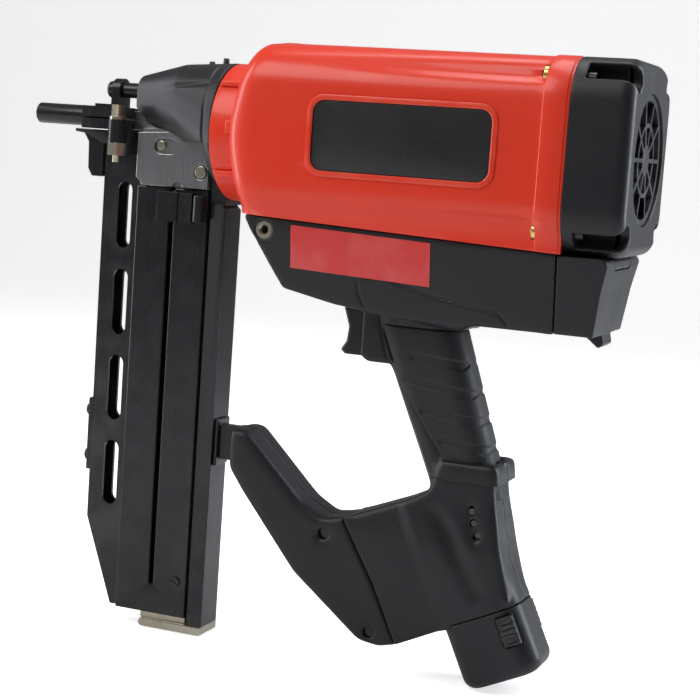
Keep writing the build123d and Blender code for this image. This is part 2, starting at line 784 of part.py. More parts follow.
def make_magazine_screw():
    """A slotted pan head low on the channel's side."""
    x, y, z = channel_rear_x - 8.0, -channel_half_width, floor_z + 34.0
    head = rod_y(y - 1.2, y, 3.6, x=x, z=z)
    slot = block(x - 4, x + 4, y - 2, y - 0.6, z - 0.5, z + 0.5)
    return head - Pos(x, 0, z) * Rot(0, 25, 0) * Pos(-x, 0, -z) * slot


def make_follower():
    """The pusher inside the channel, with its finger in the staple room and its stem through the groove."""
    low, high = follower_top_z - follower_height, follower_top_z
    clear = channel_half_width - channel_wall - 0.4
    slider = block(channel_front_x + 14.5, channel_rear_x - channel_wall - 0.5, -clear, clear, low, high)
    finger = block(
        channel_front_x - 4, channel_front_x + 15, -guide_inner_y + 0.4, guide_inner_y - 0.4, low, high
    )
    stem = block(groove_centre_x - 1.2, groove_centre_x + 1.2, -channel_half_width - 1.0, 0, low, high)
    return slider + finger + stem


def make_follower_thumb():
    low, high = follower_top_z - follower_height, follower_top_z
    thumb = block(
        groove_centre_x - 7, groove_centre_x + 8.5, -thumb_y, -channel_half_width - 1.0, low, high
    )
    return chamfer(thumb.edges().filter_by(Axis.Z), 0.8)


def make_spring_case():
    low, high = follower_top_z - follower_height, follower_top_z
    x0 = groove_centre_x + 8.8
    case = block(x0, x0 + 9.5, -thumb_y + 1, -channel_half_width - 1.0, low, high)
    return case + block(groove_centre_x + 8.5, x0, -thumb_y + 3, -channel_half_width - 2, low + 2, high - 2)


def make_spring_roll():
    x = groove_centre_x + 8.8 + 9.5 + 4.2
    y = -channel_half_width - 5.2
    roll = rod_z_axis(follower_top_z - follower_height + 1, follower_top_z - 1, 4.0, x, y)
    return roll - rod_z_axis(-100, 0, 1.6, x, y)


def make_magazine_bracket():
    """Steel strap between the magazine's rear rail and the arm."""
    x0 = rail_rear_x
    strap = block(x0, x0 + 2.5, -9, 9, -218, -187)
    return strap + block(x0 + 2.5, arm_front_x, -4, 4, -214, -191)


# ---------------------------------------------------------------- handle
body_outline = [
    (body_x + 1.0, -40.0),
    (body_x + 1.0, -52.0),
    (body_x + 9.0, -66.0),
    (body_x + 19.0, -82.0),
    (body_x + 27.0, -94.0),
    (-142.0, -101.0),
    (-61.0, -110.0),
    (-52.0, body_floor_z),
    (body_rear_x, body_floor_z),
    (body_rear_x, -40.0),
]
arm_seam = [(-134.0, -237.0), (-110.5, -276.0), (-92.5, -313.0)]  # between the arm and the grip's base
base_outline = [
    arm_seam[0],
    (-95.0, -221.0),
    (-78.0, -212.0),
    (-70.0, -190.0),
    (-34.0, -190.0),
    (-29.5, -240.0),
    (-20.0, -273.0),
    (-53.0, -295.0),
    (-66.0, -300.0),
    arm_seam[2],
    arm_seam[1],
]


taper_top_z = -58.0
taper_low_z = -112.0


def body_half(z):
    """Half the width of the lower body at a height below the start of its taper."""
    share = (taper_top_z - z) / (taper_top_z - taper_low_z)
    return body_width_top / 2 - share * (body_width_top - body_width_bottom) / 2


def body_section(inset, rise):
    """Cross-section of the lower body: straight sides that taper towards its floor."""
    top = body_width_top / 2 - inset
    low = body_width_bottom / 2 - inset
    points = [(-top, rise), (top, rise), (top, taper_top_z), (low, taper_low_z)]
    points += [(-low, taper_low_z), (-top, taper_top_z)]
    return make_face(Polyline(*points, close=True))


def lower_body(inset, rise):
    side = side_prism(outline_of(inset_points(body_outline, inset)), 60)
    across = extrude(Plane.YZ.offset(-260) * body_section(inset, rise), amount=300)
    return side & across


grip_sections = [(62.0, -153.0), (92.0, -151.5), (140.0, -147.5), (196.0, -143.6)]
trigger_guard_outline = [
    (-131.0, -98.0),
    (-131.0, -133.0),
    (-126.0, -136.5),
    (-106.0, -136.5),
    (-90.0, -98.0),
]


def trigger_guard(inset):
    """The head of the grip, which takes the trigger."""
    outline = outline_of(inset_points(trigger_guard_outline, inset))
    return side_prism(outline, grip_width / 2 - 2 - inset)


def grip_solid(inset):
    sections = []
    for distance, front_n in grip_sections:
        depth = grip_rear_n - front_n - 2 * inset
        centre = (grip_rear_n + front_n) / 2
        sections.append(
            limb_section(grip_angle, distance, centre, depth, grip_width - 2 * inset, 14.0 - inset)
        )
    return loft(sections)


def base_solid(inset):
    return side_prism(outline_of(inset_points(base_outline, inset)), base_width / 2 - inset)


def battery_tube(inset, start, end):
    """A straight length of the battery's rounded section."""
    section = limb_section(
        battery_angle,
        start,
        battery_centre,
        battery_depth - 2 * inset,
        battery_width - 2 * inset,
        battery_corner - min(inset, 6),
    )
    return extrude(section, amount=end - start)


label_box = (-171.0, -80.0, -80.5, -54.0)
label_thickness = 0.4
trigger_front_x = -147.0
trigger_rear_x = -124.0
trigger_low_z = -134.0
trigger_high_z = -104.5
door_hinge_x = 23.5
door_hinge_z = -62.0
lug_half = 20.0
hinge_pin_radius = 1.5
door_low_z = body_floor_z + 0.5
column_radius = 4.4
cell_column_z = fuel_cell_z + fuel_cell_radius + column_radius + 1.1
handle_screw_places = [
    (body_x + 28.0, -78.0, body_half(-78.0)),
    (-121.0, -92.0, body_half(-92.0)),
    (-30.0, cell_column_z, body_half(cell_column_z)),
    (-75.0, -160.0, grip_width / 2),
    (-108.0, -243.0, base_width / 2),
]
screw_recess = 6.0
arm_screw_places = [(-147.0, -250.0), (-112.0, -309.0)]
light_places = [(-49.0, -219.5), (-46.5, -227.5), (-44.0, -235.5)]


def grip_cover_prism():
    """Side view of the soft overlay on the back of the grip."""
    points = [(-117, -112), (-112, -134), (-87, -168.5), (-60, -205), (-50, -213), (-20, -213), (-20, -112)]
    return side_prism(outline_of(points), 60)


def handle_solid():
    outer = lower_body(0, -20) + grip_solid(0) + trigger_guard(0) + base_solid(0)
    outer += battery_tube(0, battery_seam - 42, battery_seam)
    bay = lower_body(shell_wall, 20)
    bay += grip_solid(shell_wall + cover_skin) + trigger_guard(shell_wall)
    bay += base_solid(shell_wall)
    handle = outer - bay + handle_walls()
    handle -= battery_tube(4.0 - gap, battery_seam - battery_plug_length - 2, battery_seam + 5)
    above = Pos(0, 0, 60) * below_split(60)
    handle -= above
    handle -= block(
        trigger_front_x - 4,
        trigger_rear_x + trigger_travel + 2.5,
        -trigger_width / 2 - gap,
        trigger_width / 2 + gap,
        trigger_low_z - 1.0,
        trigger_high_z + 1.0,
    )
    handle -= rod_y(-100, insert_front_y - 0.3, insert_corner, x=insert_x, z=insert_z)
    handle -= insert_body(insert_front_y - 1)
    for x, z in light_places:
        handle -= rod_y(-60, 0, 2.2, x=x, z=z)
    for x, z, half in handle_screw_places:
        handle += rod_y(1.5 - half, half - 1.5, column_radius, x=x, z=z)
        handle -= rod_y(-10, 60, 1.8, x=x, z=z)
        handle -= rod_y(half - screw_recess, 60, 3.5, x=x, z=z)
    handle -= battery_tube(-gap, battery_seam, battery_seam + 60)
    handle -= rod_x(body_rear_x - 5, body_rear_x + 1, fuel_cell_radius + 0.8, z=fuel_cell_z)
    return (handle & below_split(400)) - grip_skin()


def handle_walls():
    """Ribs that carry the trigger, the battery socket and the fuel cell."""
    ribs = block(-113.5, -111, -14, 14, -136, -100)
    ribs += battery_tube(0.5, battery_seam - battery_plug_length - 5, battery_seam - 6)
    ribs += block(-113, -110, -20, 20, -104, -60)
    ribs += rod_y(-43, -28, 8.5, x=insert_x, z=insert_z) & lower_body(0, -20)
    return ribs


def grip_skin():
    """The grip's outer skin inside the overlay's outline."""
    return (grip_solid(0) - grip_solid(cover_skin)) & grip_cover_prism()


def make_lights():
    solids = []
    for x, z in light_places:
        solids.append(rod_y(-base_width / 2 + 1.0, -base_width / 2 + 2.5, 2.15, x=x, z=z))
    return solids


def insert_body(front_y):
    """The six-sided outside of the belt hook's insert, from front_y to its back face."""
    corners = []
    for step in range(6):
        angle = math.radians(60 * step)
        corners.append(
            (insert_x + insert_corner * math.cos(angle), insert_z + insert_corner * math.sin(angle))
        )
    prism = side_prism(outline_of(corners), 60)
    return prism & rod_y(front_y, insert_front_y + insert_length, 20, x=insert_x, z=insert_z)


def make_hook_insert():
    thread = rod_y(
        insert_front_y - 1, insert_front_y + insert_length + 1, insert_bore, x=insert_x, z=insert_z
    )
    return insert_body(insert_front_y) - thread


def make_label():
    """A thin plate stuck on the tapering side of the handle's body."""
    x0, x1, z0, z1 = label_box
    points = [(x0, z1), (x1, z1 - 3.5), (x1, z0 - 3.5), (x0, z0)]
    skin = lower_body(-label_thickness, -20) - lower_body(0, -20)
    return half_of(skin & side_prism(outline_of(points), 60), -1)


def make_handle_screws():
    """Screws driven from the right-hand side through the columns that join the two shells."""
    solids = []
    for x, z, half in handle_screw_places:
        y = half - screw_recess
        shank = rod_y(-10, y, 1.8, x=x, z=z)
        solids.append(shank + rod_y(y, y + 2.5, 3.3, x=x, z=z))
    return solids


def make_trigger():
    x0, x1 = trigger_front_x, trigger_rear_x
    low, high = trigger_low_z, trigger_high_z
    points = [(x0 + 0.5, high), (x0 + 4.5, high - 12), (x0 + 3.6, high - 21), (x0, low + 2.5)]
    points += [(x0 + 2.5, low), (x1, low), (x1, high)]
    solid = side_prism(outline_of(points), trigger_width / 2)
    front = solid.edges().filter_by(lambda e: e.center().X < x0 + 5 and abs(e.center().Y) > 8)
    return chamfer(front, 1.5)


def make_trigger_spring():
    start = trigger_rear_x + 0.6
    plane = Plane(origin=(start + 0.4, 0, -122), z_dir=(1, 0, 0))
    return coil(3.2, 0.4, 2.2, trigger_travel + 0.8, plane)


def make_trigger_switch():
    return block(-110.8, -104.0, -9, 9, -128, -112)


# ---------------------------------------------------------------- fuel door
def door_outline(inset):
    x0 = body_rear_x + 0.6 - (5 if inset else 0)
    hinge_r = 4.2 - inset
    arc = [(x0, door_hinge_z + 3.9 - inset), (door_hinge_x, door_hinge_z + hinge_r)]
    arc += [(door_hinge_x + hinge_r * 0.71, door_hinge_z + hinge_r * 0.71)]
    arc += [(door_hinge_x + hinge_r, door_hinge_z), (24.5 - inset, -78), (21 - inset, door_low_z + inset)]
    arc += [(x0, door_low_z + inset)]
    return outline_of(arc)


def make_fuel_door():
    outer_across = extrude(Plane.YZ.offset(-10) * body_section(0, -20), amount=60)
    inner_across = extrude(Plane.YZ.offset(-10) * body_section(shell_wall, -20), amount=60)
    outer = side_prism(door_outline(0), 60) & outer_across
    inner = side_prism(door_outline(shell_wall), 60) & inner_across
    door = outer - inner
    floor = body_floor_z
    points = [(7, floor + 1), (14, floor - 4.5), (18.6, floor - 8), (22, floor - 5.5), (20.5, floor + 1.5)]
    tab = outline_of(points)
    door += side_prism(tab, 11)
    for side in (-1, 1):
        y0, y1 = sorted((side * lug_half, side * 30))
        door += rod_y(y0, y1, 4.2, x=door_hinge_x, z=door_hinge_z) & outer
    door -= block(body_rear_x - 1, door_hinge_x, -lug_half, lug_half, door_hinge_z - 4.5, -50)
    door -= rod_y(-lug_half, lug_half, 4.5, x=door_hinge_x, z=door_hinge_z)
    return door - rod_y(-32, 32, hinge_pin_radius + fit, x=door_hinge_x, z=door_hinge_z)


def make_door_pin():
    return rod_y(-32, 32, hinge_pin_radius, x=door_hinge_x, z=door_hinge_z)


def make_door_lugs():
    """A bridge from the handle's rear edge to the hinge pin, between the door's own knuckles."""
    half = lug_half - gap
    lugs = rod_y(-half, half, 4.0, x=door_hinge_x, z=door_hinge_z)
    lugs += block(body_rear_x - shell_wall, door_hinge_x, -half, half, door_hinge_z + 1.2, door_hinge_z + 4)
    return lugs - rod_y(-40, 40, hinge_pin_radius, x=door_hinge_x, z=door_hinge_z)


def make_fuel_cell():
    x1 = body_rear_x + 8
    can = rod_x(x1 - fuel_cell_length, x1, fuel_cell_radius, z=fuel_cell_z)
    can = fillet(can.faces().sort_by(Axis.X)[0].edges(), 5)
    return can + rod_x(x1 - fuel_cell_length - 5, x1 - fuel_cell_length, 5, z=fuel_cell_z)


def make_fuel_valve():
    x1 = body_rear_x + 8 - fuel_cell_length - 5
    return block(x1 - 12, x1, -10, 10, -93, -66)


def make_control_board():
    return block(-176, -122, -30, 30, -66, -64)


# ---------------------------------------------------------------- battery
plug_inset = 4.0


def make_battery_case():
    pod = battery_tube(0, battery_seam + gap, battery_bottom)
    low = pod.faces().sort_by(Axis((0, 0, 0), tilted(battery_angle).z_dir))[-1]
    pod = fillet(low.edges(), battery_foot_radius)
    plug = battery_tube(plug_inset, battery_seam - battery_plug_length, battery_seam + 2)
    case = pod + plug
    hollow = battery_tube(plug_inset + 2, battery_seam - battery_plug_length + 2, battery_bottom - 4)
    case -= hollow
    for side in (-1, 1):
        case -= button_pocket(side)
    return case


button_n = battery_centre + 17.0
button_top = battery_seam + 4.0
button_length = 18.0
button_depth = 11.0
button_sunk = 2.2
button_proud = 1.6


def button_block(side, grow, inner, outer):
    """A press tab on the battery's side, in the battery's tilted frame."""
    plane = tilted(battery_angle).offset(button_top - grow)
    y0, y1 = side * inner, side * outer
    sketch = Pos(button_n, -(y0 + y1) / 2) * Rectangle(button_depth + 2 * grow, abs(y1 - y0))
    return extrude(plane * sketch, amount=button_length + 2 * grow)


def button_pocket(side):
    floor_y = battery_width / 2 - button_sunk - button_travel - gap
    return button_block(side, 0.4, floor_y, battery_width / 2 + 3)


def make_battery_button(side):
    tab = button_block(side, 0.0, battery_width / 2 - button_sunk, battery_width / 2 + button_proud)
    for i in range(4):
        plane = tilted(battery_angle).offset(button_top + 3 + 4 * i)
        y = side * (battery_width / 2 + button_proud)
        tab -= extrude(plane * (Pos(button_n, -y) * Rectangle(20, 1.2)), amount=1.4)
    return tab


def make_battery_cells():
    solids = []
    start = battery_seam - battery_plug_length + 6
    for offset_n in (-9.6, 9.6):
        plane = tilted(battery_angle).offset(start)
        cell = extrude(plane * (Pos(battery_centre + offset_n, 0) * Circle(9.2)), amount=65)
        solids.append(cell)
    return solids


# ---------------------------------------------------------------- arm
arm_outline = [
    (arm_front_x, -190.0),
    (arm_front_x + 11.0, -190.0),
    (-164.0, -231.0),
    (-149.0, -239.5),
    *[(x - 0.4, z - 0.3) for x, z in arm_seam],
    (-104.0, -317.5),
    (-119.0, -315.5),
    (-167.0, -278.0),
    (arm_front_x + 11.0, -231.0),
    (arm_front_x, -216.0),
]


def arm_solid(inset):
    return side_prism(outline_of(inset_points(arm_outline, inset)), arm_width / 2 - inset)


def make_arm_whole():
    arm = arm_solid(0)
    arm = chamfer(arm.edges().filter_by(lambda e: abs(abs(e.center().Y) - arm_width / 2) < 0.01), 2.0)
    arm -= arm_solid(arm_wall)
    for x, z in arm_screw_places:
        arm += rod_y(-arm_width / 2 + 1, arm_width / 2 - 1, 5.0, x=x, z=z) & arm_solid(1)
        arm -= rod_y(-40, -arm_width / 2 + 6, 3.4, x=x, z=z)
        arm -= rod_y(-20, 10, 1.8, x=x, z=z)
    return arm


def make_arm_screws():
    solids = []
    for x, z in arm_screw_places:
        y = -arm_width / 2 + 6
        shank = rod_y(y, 10, 1.8, x=x, z=z)
        head = rod_y(y - 2.5, y, 3.3, x=x, z=z)
        solids.append(head + shank)
    return solids


# ---------------------------------------------------------------- write every node
def build_nodes():
    whole_handle = handle_solid()
    lugs = make_door_lugs()
    whole_handle = whole_handle + lugs
    whole_arm = make_arm_whole()
    nodes = {
        "main_housing": make_main_housing(),
        "side_badges": [make_badge(-1), make_badge(1)],
        "housing_inserts": make_inserts(),
        "cap_screws": make_cap_screws(),
        "rear_cap": make_rear_cap(),
        "intake_grille": make_grille(),
        "air_filter": make_air_filter(),
        "cylinder": make_cylinder(),
        "bumper": make_bumper(),
        "cylinder_head": make_head(),
        "fan_motor": make_motor(),
        "spark_plug": make_spark_plug(),
        "fan": make_fan(),
        "piston": make_piston(),
        "driver_blade": make_blade(),
        "combustion_chamber": make_chamber(),
        "chamber_linkage": make_linkage(),
        "link_rod": make_link_rod(),
        "contact_bracket": make_contact_bracket(),
        "contact_tube": make_contact_tube(),
        "bracket_screw": make_bracket_screw(),
        "clamp_bolt_and_nut": [make_clamp_bolt(), make_clamp_nut()],
        "return_springs": make_return_springs(),
        "nose_block": make_nose_block(),
        "nose_plates": [make_side_plate(-1), make_side_plate(1)],
        "nose_pins": make_nose_pins(),
        "nose_cover": make_nose_cover(),
        "muzzle_bracket": make_muzzle_bracket(),
        "staple_guides": [make_staple_guide(-1), make_staple_guide(1)],
        "front_strip": make_front_strip(),
        "front_bracket": make_front_bracket(),
        "front_rivets": make_rivets(),
        "magazine_channel": make_channel(),
        "rear_rail": make_rear_rail() + make_rail_spacer(),
        "foot_plate": make_foot_plate() + make_end_stop(),
        "magazine_screw": make_magazine_screw(),
        "magazine_bracket": make_magazine_bracket(),
        "follower": make_follower(),
        "follower_thumb": make_follower_thumb() + make_spring_case(),
        "spring_roll": make_spring_roll(),
        "handle_shell_left": half_of(whole_handle, -1),
        "handle_shell_right": half_of(whole_handle, 1),
        "grip_cover": grip_skin(),
        "hook_insert": make_hook_insert(),
        "data_label": make_label(),
        "status_lights": make_lights(),
        "trigger": make_trigger(),
        "trigger_spring": make_trigger_spring(),
        "trigger_circuit": [make_trigger_switch(), make_control_board()],
        "fuel_door": make_fuel_door(),
        "door_pin": make_door_pin(),
        "fuel_cell": [make_fuel_cell(), make_fuel_valve()],
        "battery_case": make_battery_case(),
        "battery_cells": make_battery_cells(),
        "battery_button_left": make_battery_button(-1),
        "battery_button_right": make_battery_button(1),
        "arm_shell_left": half_of(whole_arm, -1),
        "arm_shell_right": half_of(whole_arm, 1),
        "shell_screws": make_arm_screws() + make_handle_screws(),
    }
    return nodes


def write_nodes(nodes):
    boxes = []
    for shape in nodes.values():
        solids = shape if isinstance(shape, list) else [shape]
        boxes.append(Compound(children=[Compound(s.solids()) for s in solids]).bounding_box())
    low_x = min(b.min.X for b in boxes)
    high_x = max(b.max.X for b in boxes)
    shift = Pos(-(low_x + high_x) / 2, 0, -floor_z)
    for name, shape in nodes.items():
        solids = shape if isinstance(shape, list) else [shape]
        moved = []
        for piece in solids:
            moved.extend((shift * piece).solids())
        export_step(Compound(moved), f"parts/{name}.step")
        print(name, len(moved))


def print_travels():
    """How far each sliding piece can go, in millimetres."""
    travels = {
        "work contact": foot_travel,
        "driver": driver_stroke,
        "trigger": trigger_travel,
        "follower": follower_travel,
        "battery buttons": button_travel,
    }
    for piece, travel in travels.items():
        print("travel:", piece, round(travel, 2))


write_nodes(build_nodes())
print_travels()
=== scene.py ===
"""Finished surfaces and detailed pieces of a gas fencing stapler, built around its engineering model.

Shapes are drawn in millimetres in the tool's own frame: X runs back along the tool, Y runs across it and
Z is up. X = 0 is the joint between the red housing and the rear cap, and Z = 0 is the housing's mid-height.
"""

import math

import bmesh
import bpy
import numpy as np
from bpy.props import FloatProperty, FloatVectorProperty, IntProperty, PointerProperty
from mathutils import Matrix, Vector


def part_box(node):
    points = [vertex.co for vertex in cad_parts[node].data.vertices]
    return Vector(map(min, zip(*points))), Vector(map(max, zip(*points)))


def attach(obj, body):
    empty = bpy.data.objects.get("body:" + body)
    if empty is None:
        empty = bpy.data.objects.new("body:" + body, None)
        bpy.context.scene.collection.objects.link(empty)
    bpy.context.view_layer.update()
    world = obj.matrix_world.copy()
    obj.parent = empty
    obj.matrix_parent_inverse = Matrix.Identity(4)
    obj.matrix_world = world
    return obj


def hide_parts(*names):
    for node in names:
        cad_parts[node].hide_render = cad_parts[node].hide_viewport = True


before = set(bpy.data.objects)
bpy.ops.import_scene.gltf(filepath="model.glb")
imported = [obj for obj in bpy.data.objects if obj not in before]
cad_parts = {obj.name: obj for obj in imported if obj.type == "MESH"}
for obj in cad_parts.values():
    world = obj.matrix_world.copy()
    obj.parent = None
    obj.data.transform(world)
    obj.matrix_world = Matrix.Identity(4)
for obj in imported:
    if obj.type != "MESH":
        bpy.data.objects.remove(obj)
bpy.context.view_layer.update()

bl_info = {
    "name": "Gas fencing stapler",
    "version": (1, 0, 0),
    "blender": (4, 5, 0),
    "location": "3D View > Sidebar > Stapler",
    "description": "Builds the finished pieces of a gas fencing stapler",
    "category": "Add Mesh",
}

MM = 0.001
CAP_LOW, CAP_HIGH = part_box("rear_cap")
ORIGIN = Vector((CAP_LOW.x, 0.0, (CAP_LOW.z + CAP_HIGH.z) / 2))
TO_ROW = Matrix.Translation(ORIGIN) @ Matrix.Scale(MM, 4)


def tool_box(node):
    """A node's lowest and highest corners in millimetres in the tool's frame."""
    low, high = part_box(node)
    return (low - ORIGIN) / MM, (high - ORIGIN) / MM


# ------------------------------------------------------------------ outlines
def rounded(points, radius):
    """A closed outline with its corners rounded. A point may carry a third number, its own radius."""
    outline = []
    count = len(points)
    for i, point in enumerate(points):
        wanted = point[2] if len(point) > 2 else radius
        before = Vector(points[i - 1][:2])
        corner = Vector(point[:2])
        after = Vector(points[(i + 1) % count][:2])
        to_before, to_after = before - corner, after - corner
        opening = to_before.angle(to_after)
        half_tan = math.tan(opening / 2)
        reach = min(wanted / half_tan, 0.49 * to_before.length, 0.49 * to_after.length)
        if reach < 0.02 or opening > math.radians(177):
            outline.append(corner)
            continue
        to_before.normalize()
        to_after.normalize()
        arc_radius = reach * half_tan
        centre = corner + (to_before + to_after).normalized() * (arc_radius / math.sin(opening / 2))
        first = corner + to_before * reach - centre
        last = corner + to_after * reach - centre
        start = math.atan2(first.y, first.x)
        sweep = math.atan2(last.y, last.x) - start
        sweep = (sweep + math.pi) % (2 * math.pi) - math.pi
        steps = max(2, math.ceil(abs(sweep) / math.radians(11)))
        for k in range(steps + 1):
            angle = start + sweep * k / steps
            outline.append(centre + Vector((math.cos(angle), math.sin(angle))) * arc_radius)
    return outline


def rounded_box_outline(centre_u, centre_v, width, height, radius):
    u, v = width / 2, height / 2
    corners = [(-u, -v), (u, -v), (u, v), (-u, v)]
    return rounded([(centre_u + a, centre_v + b) for a, b in corners], radius)


def circle(radius, steps=48, u=0.0, v=0.0):
    turns = [2 * math.pi * k / steps for k in range(steps)]
    return [Vector((u + radius * math.cos(t), v + radius * math.sin(t))) for t in turns]


def smooth_step(low, high, value):
    """0 at low and 1 at high, eased at both ends. low may be the greater of the two."""
    share = min(1.0, max(0.0, (value - low) / (high - low)))
    return share * share * (3 - 2 * share)


# ------------------------------------------------------------------ mesh building
def along(axis, u, v, w):
    """A point of an outline (u, v) at w along an axis."""
    if axis == "X":
        return Vector((w, u, v))
    if axis == "Y":
        return Vector((u, w, v))
    return Vector((u, v, w))


def loft(rings, hollow=False):
    """A closed mesh through rings of equal count. A hollow one joins its last ring to its first."""
    bm = bmesh.new()
    made = [[bm.verts.new(p) for p in ring] for ring in rings]
    pairs = list(zip(made, made[1:]))
    if hollow:
        pairs.append((made[-1], made[0]))
    for a, b in pairs:
        for i in range(len(a)):
            j = (i + 1) % len(a)
            bm.faces.new((a[i], a[j], b[j], b[i]))
    if not hollow:
        bm.faces.new(made[0])
        bm.faces.new(made[-1])
    return bm


def prism(outline, low, high, axis="Y"):
    return loft([[along(axis, p[0], p[1], w) for p in outline] for w in (low, high)])


def box(x0, x1, y0, y1, z0, z1):
    return prism([(x0, z0), (x1, z0), (x1, z1), (x0, z1)], y0, y1)


def turned(profile, axis="X", u=0.0, v=0.0, steps=48):
    """A turned solid from (place along the axis, radius) pairs."""
    return loft([[along(axis, p.x, p.y, w) for p in circle(r, steps, u, v)] for w, r in profile])


def bar(w0, w1, radius, chamfer=0.4, axis="X", u=0.0, v=0.0, steps=48):
    """A turned rod with a chamfer at each end."""
    shoulder = radius - chamfer
    profile = [(w0, shoulder), (w0 + chamfer, radius), (w1 - chamfer, radius), (w1, shoulder)]
    return turned(profile, axis, u, v, steps)


def tube(w0, w1, outer, inner, chamfer=0.4, axis="X", u=0.0, v=0.0, steps=48):
    profile = [(w0 + chamfer, outer), (w1 - chamfer, outer), (w1, outer - chamfer)]
    profile += [(w1, inner + chamfer), (w1 - chamfer, inner), (w0 + chamfer, inner)]
    profile += [(w0, inner + chamfer), (w0, outer - chamfer)]
    rings = [[along(axis, p.x, p.y, w) for p in circle(r, steps, u, v)] for w, r in profile]
    return loft(rings, hollow=True)


def solid(name, *meshes):
    """An object, still in millimetres, from one or more closed meshes."""
    joined = bmesh.new()
    for bm in meshes:
        bmesh.ops.recalc_face_normals(bm, faces=bm.faces)
        part = bpy.data.meshes.new(name)
        bm.to_mesh(part)
        bm.free()
        joined.from_mesh(part)
        bpy.data.meshes.remove(part)
    mesh = bpy.data.meshes.new(name)
    joined.to_mesh(mesh)
    joined.free()
    piece = bpy.data.objects.new(name, mesh)
    bpy.context.scene.collection.objects.link(piece)
    return piece


def settle(piece):
    """Applies a piece's modifiers."""
    bpy.context.view_layer.update()
    graph = bpy.context.evaluated_depsgraph_get()
    mesh = bpy.data.meshes.new_from_object(piece.evaluated_get(graph))
    old = piece.data
    piece.modifiers.clear()
    piece.data = mesh
    mesh.name = piece.name
    bpy.data.meshes.remove(old)
    return piece


def melt(piece, voxel, passes, share):
    """Fuses overlapping solids into one moulded skin, softens its edges and thins its mesh."""
    size = voxel * 1.0
    remesh = piece.modifiers.new("fuse", "REMESH")
    remesh.mode = "VOXEL"
    remesh.voxel_size = size
    soften = piece.modifiers.new("soften", "SMOOTH")
    soften.factor = 0.5
    soften.iterations = passes
    settle(piece)
    if share < 1.0:
        thin = piece.modifiers.new("thin", "DECIMATE")
        thin.ratio = share
        settle(piece)
    return piece


def combine(piece, operation, others):
    for other in others:
        cut = piece.modifiers.new("cut", "BOOLEAN")
        cut.operation = operation
        cut.solver = "EXACT"
        cut.object = other
    settle(piece)
    for other in others:
        discard(other)
    return piece


def carve(piece, *cutters):
    return combine(piece, "DIFFERENCE", [solid("cutter", bm) for bm in cutters])


def keep_inside(piece, bm):
    return combine(piece, "INTERSECT", [solid("keeper", bm)])


def discard(piece):
    mesh = piece.data
    bpy.data.objects.remove(piece)
    if mesh.users == 0:
        bpy.data.meshes.remove(mesh)


def ease(piece, width, segments=3, angle=32):
    """Rounds a piece's hard edges."""
    bevel = piece.modifiers.new("ease", "BEVEL")
    bevel.width = width
    bevel.segments = segments
    bevel.limit_method = "ANGLE"
    bevel.angle_limit = math.radians(angle)
    bevel.harden_normals = False
    bevel.miter_outer = "MITER_ARC"
    return settle(piece)


def fused(name, *pieces):
    """One object from several that already have their final mesh."""
    bm = bmesh.new()
    for piece in pieces:
        bm.from_mesh(piece.data)
        discard(piece)
    mesh = bpy.data.meshes.new(name)
    bm.to_mesh(mesh)
    bm.free()
    whole = bpy.data.objects.new(name, mesh)
    bpy.context.scene.collection.objects.link(whole)
    return whole


def press_in(piece, depth_at):
    """Moves each vertex along its normal by depth_at(place, normal), in millimetres."""
    mesh = piece.data
    moved = []
    for vertex in mesh.vertices:
        moved.append(vertex.co + vertex.normal * depth_at(vertex.co, vertex.normal))
    for vertex, place in zip(mesh.vertices, moved):
        vertex.co = place
    mesh.update()
    return piece


def place(piece, body, slot, *nodes, smooth_angle=38):
    """Moves a finished piece into the frame, gives it its finish, and ties it to its body."""
    mesh = piece.data
    mesh.transform(TO_ROW)
    mesh.shade_smooth()
    mesh.set_sharp_from_angle(angle=math.radians(smooth_angle))
    mesh.materials.clear()
    mesh.materials.append(finish_for(slot))
    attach(piece, body)
    if nodes:
        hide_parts(*nodes)
    return piece


def from_node(node):
    """A copy of an engineering node's mesh in millimetres, as one closed skin."""
    bm = bmesh.new()
    bm.from_mesh(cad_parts[node].data)
    bm.transform(TO_ROW.inverted())
    bmesh.ops.remove_doubles(bm, verts=bm.verts, dist=0.002)
    bmesh.ops.dissolve_limit(bm, angle_limit=math.radians(1), verts=bm.verts, edges=bm.edges)
    return solid(node + "_finished", bm)


def machined(node, body, slot, edge):
    """A metal piece with its edges broken."""
    return place(ease(from_node(node), edge, 2), body, slot, node, smooth_angle=22)


def soften(piece, weight_at, passes):
    """Rounds a dense moulded skin over wide edges, by a share of the passes that varies over it."""
    group = piece.vertex_groups.new(name="soft")
    for vertex in piece.data.vertices:
        weight = weight_at(vertex.co)
        if weight > 0.01:
            group.add((vertex.index,), weight, "REPLACE")
    smooth = piece.modifiers.new("soften", "SMOOTH")
    smooth.factor = 0.5
    smooth.iterations = passes
    smooth.vertex_group = "soft"
    return settle(piece)


def reshape(piece, place_at):
    """Moves each vertex of a piece to place_at(its place), in millimetres."""
    for vertex in piece.data.vertices:
        vertex.co = place_at(vertex.co)
    piece.data.update()
    return piece


def thinned(piece, share):
    thin = piece.modifiers.new("thin", "DECIMATE")
    thin.ratio = share
    return settle(piece)


def ahead_of(p, a, b):
    """The signed distance of (x, z) in front of the line from a down to b."""
    length = math.hypot(b[0] - a[0], b[1] - a[1])
    return -((p[0] - a[0]) * (a[1] - b[1]) + (p[1] - a[1]) * (b[0] - a[0])) / length


def groove(centre, width, depth):
    """The depth of a round-bottomed groove at a distance across it."""
    return lambda value: depth * math.exp(-(((value - centre) / width) ** 2))


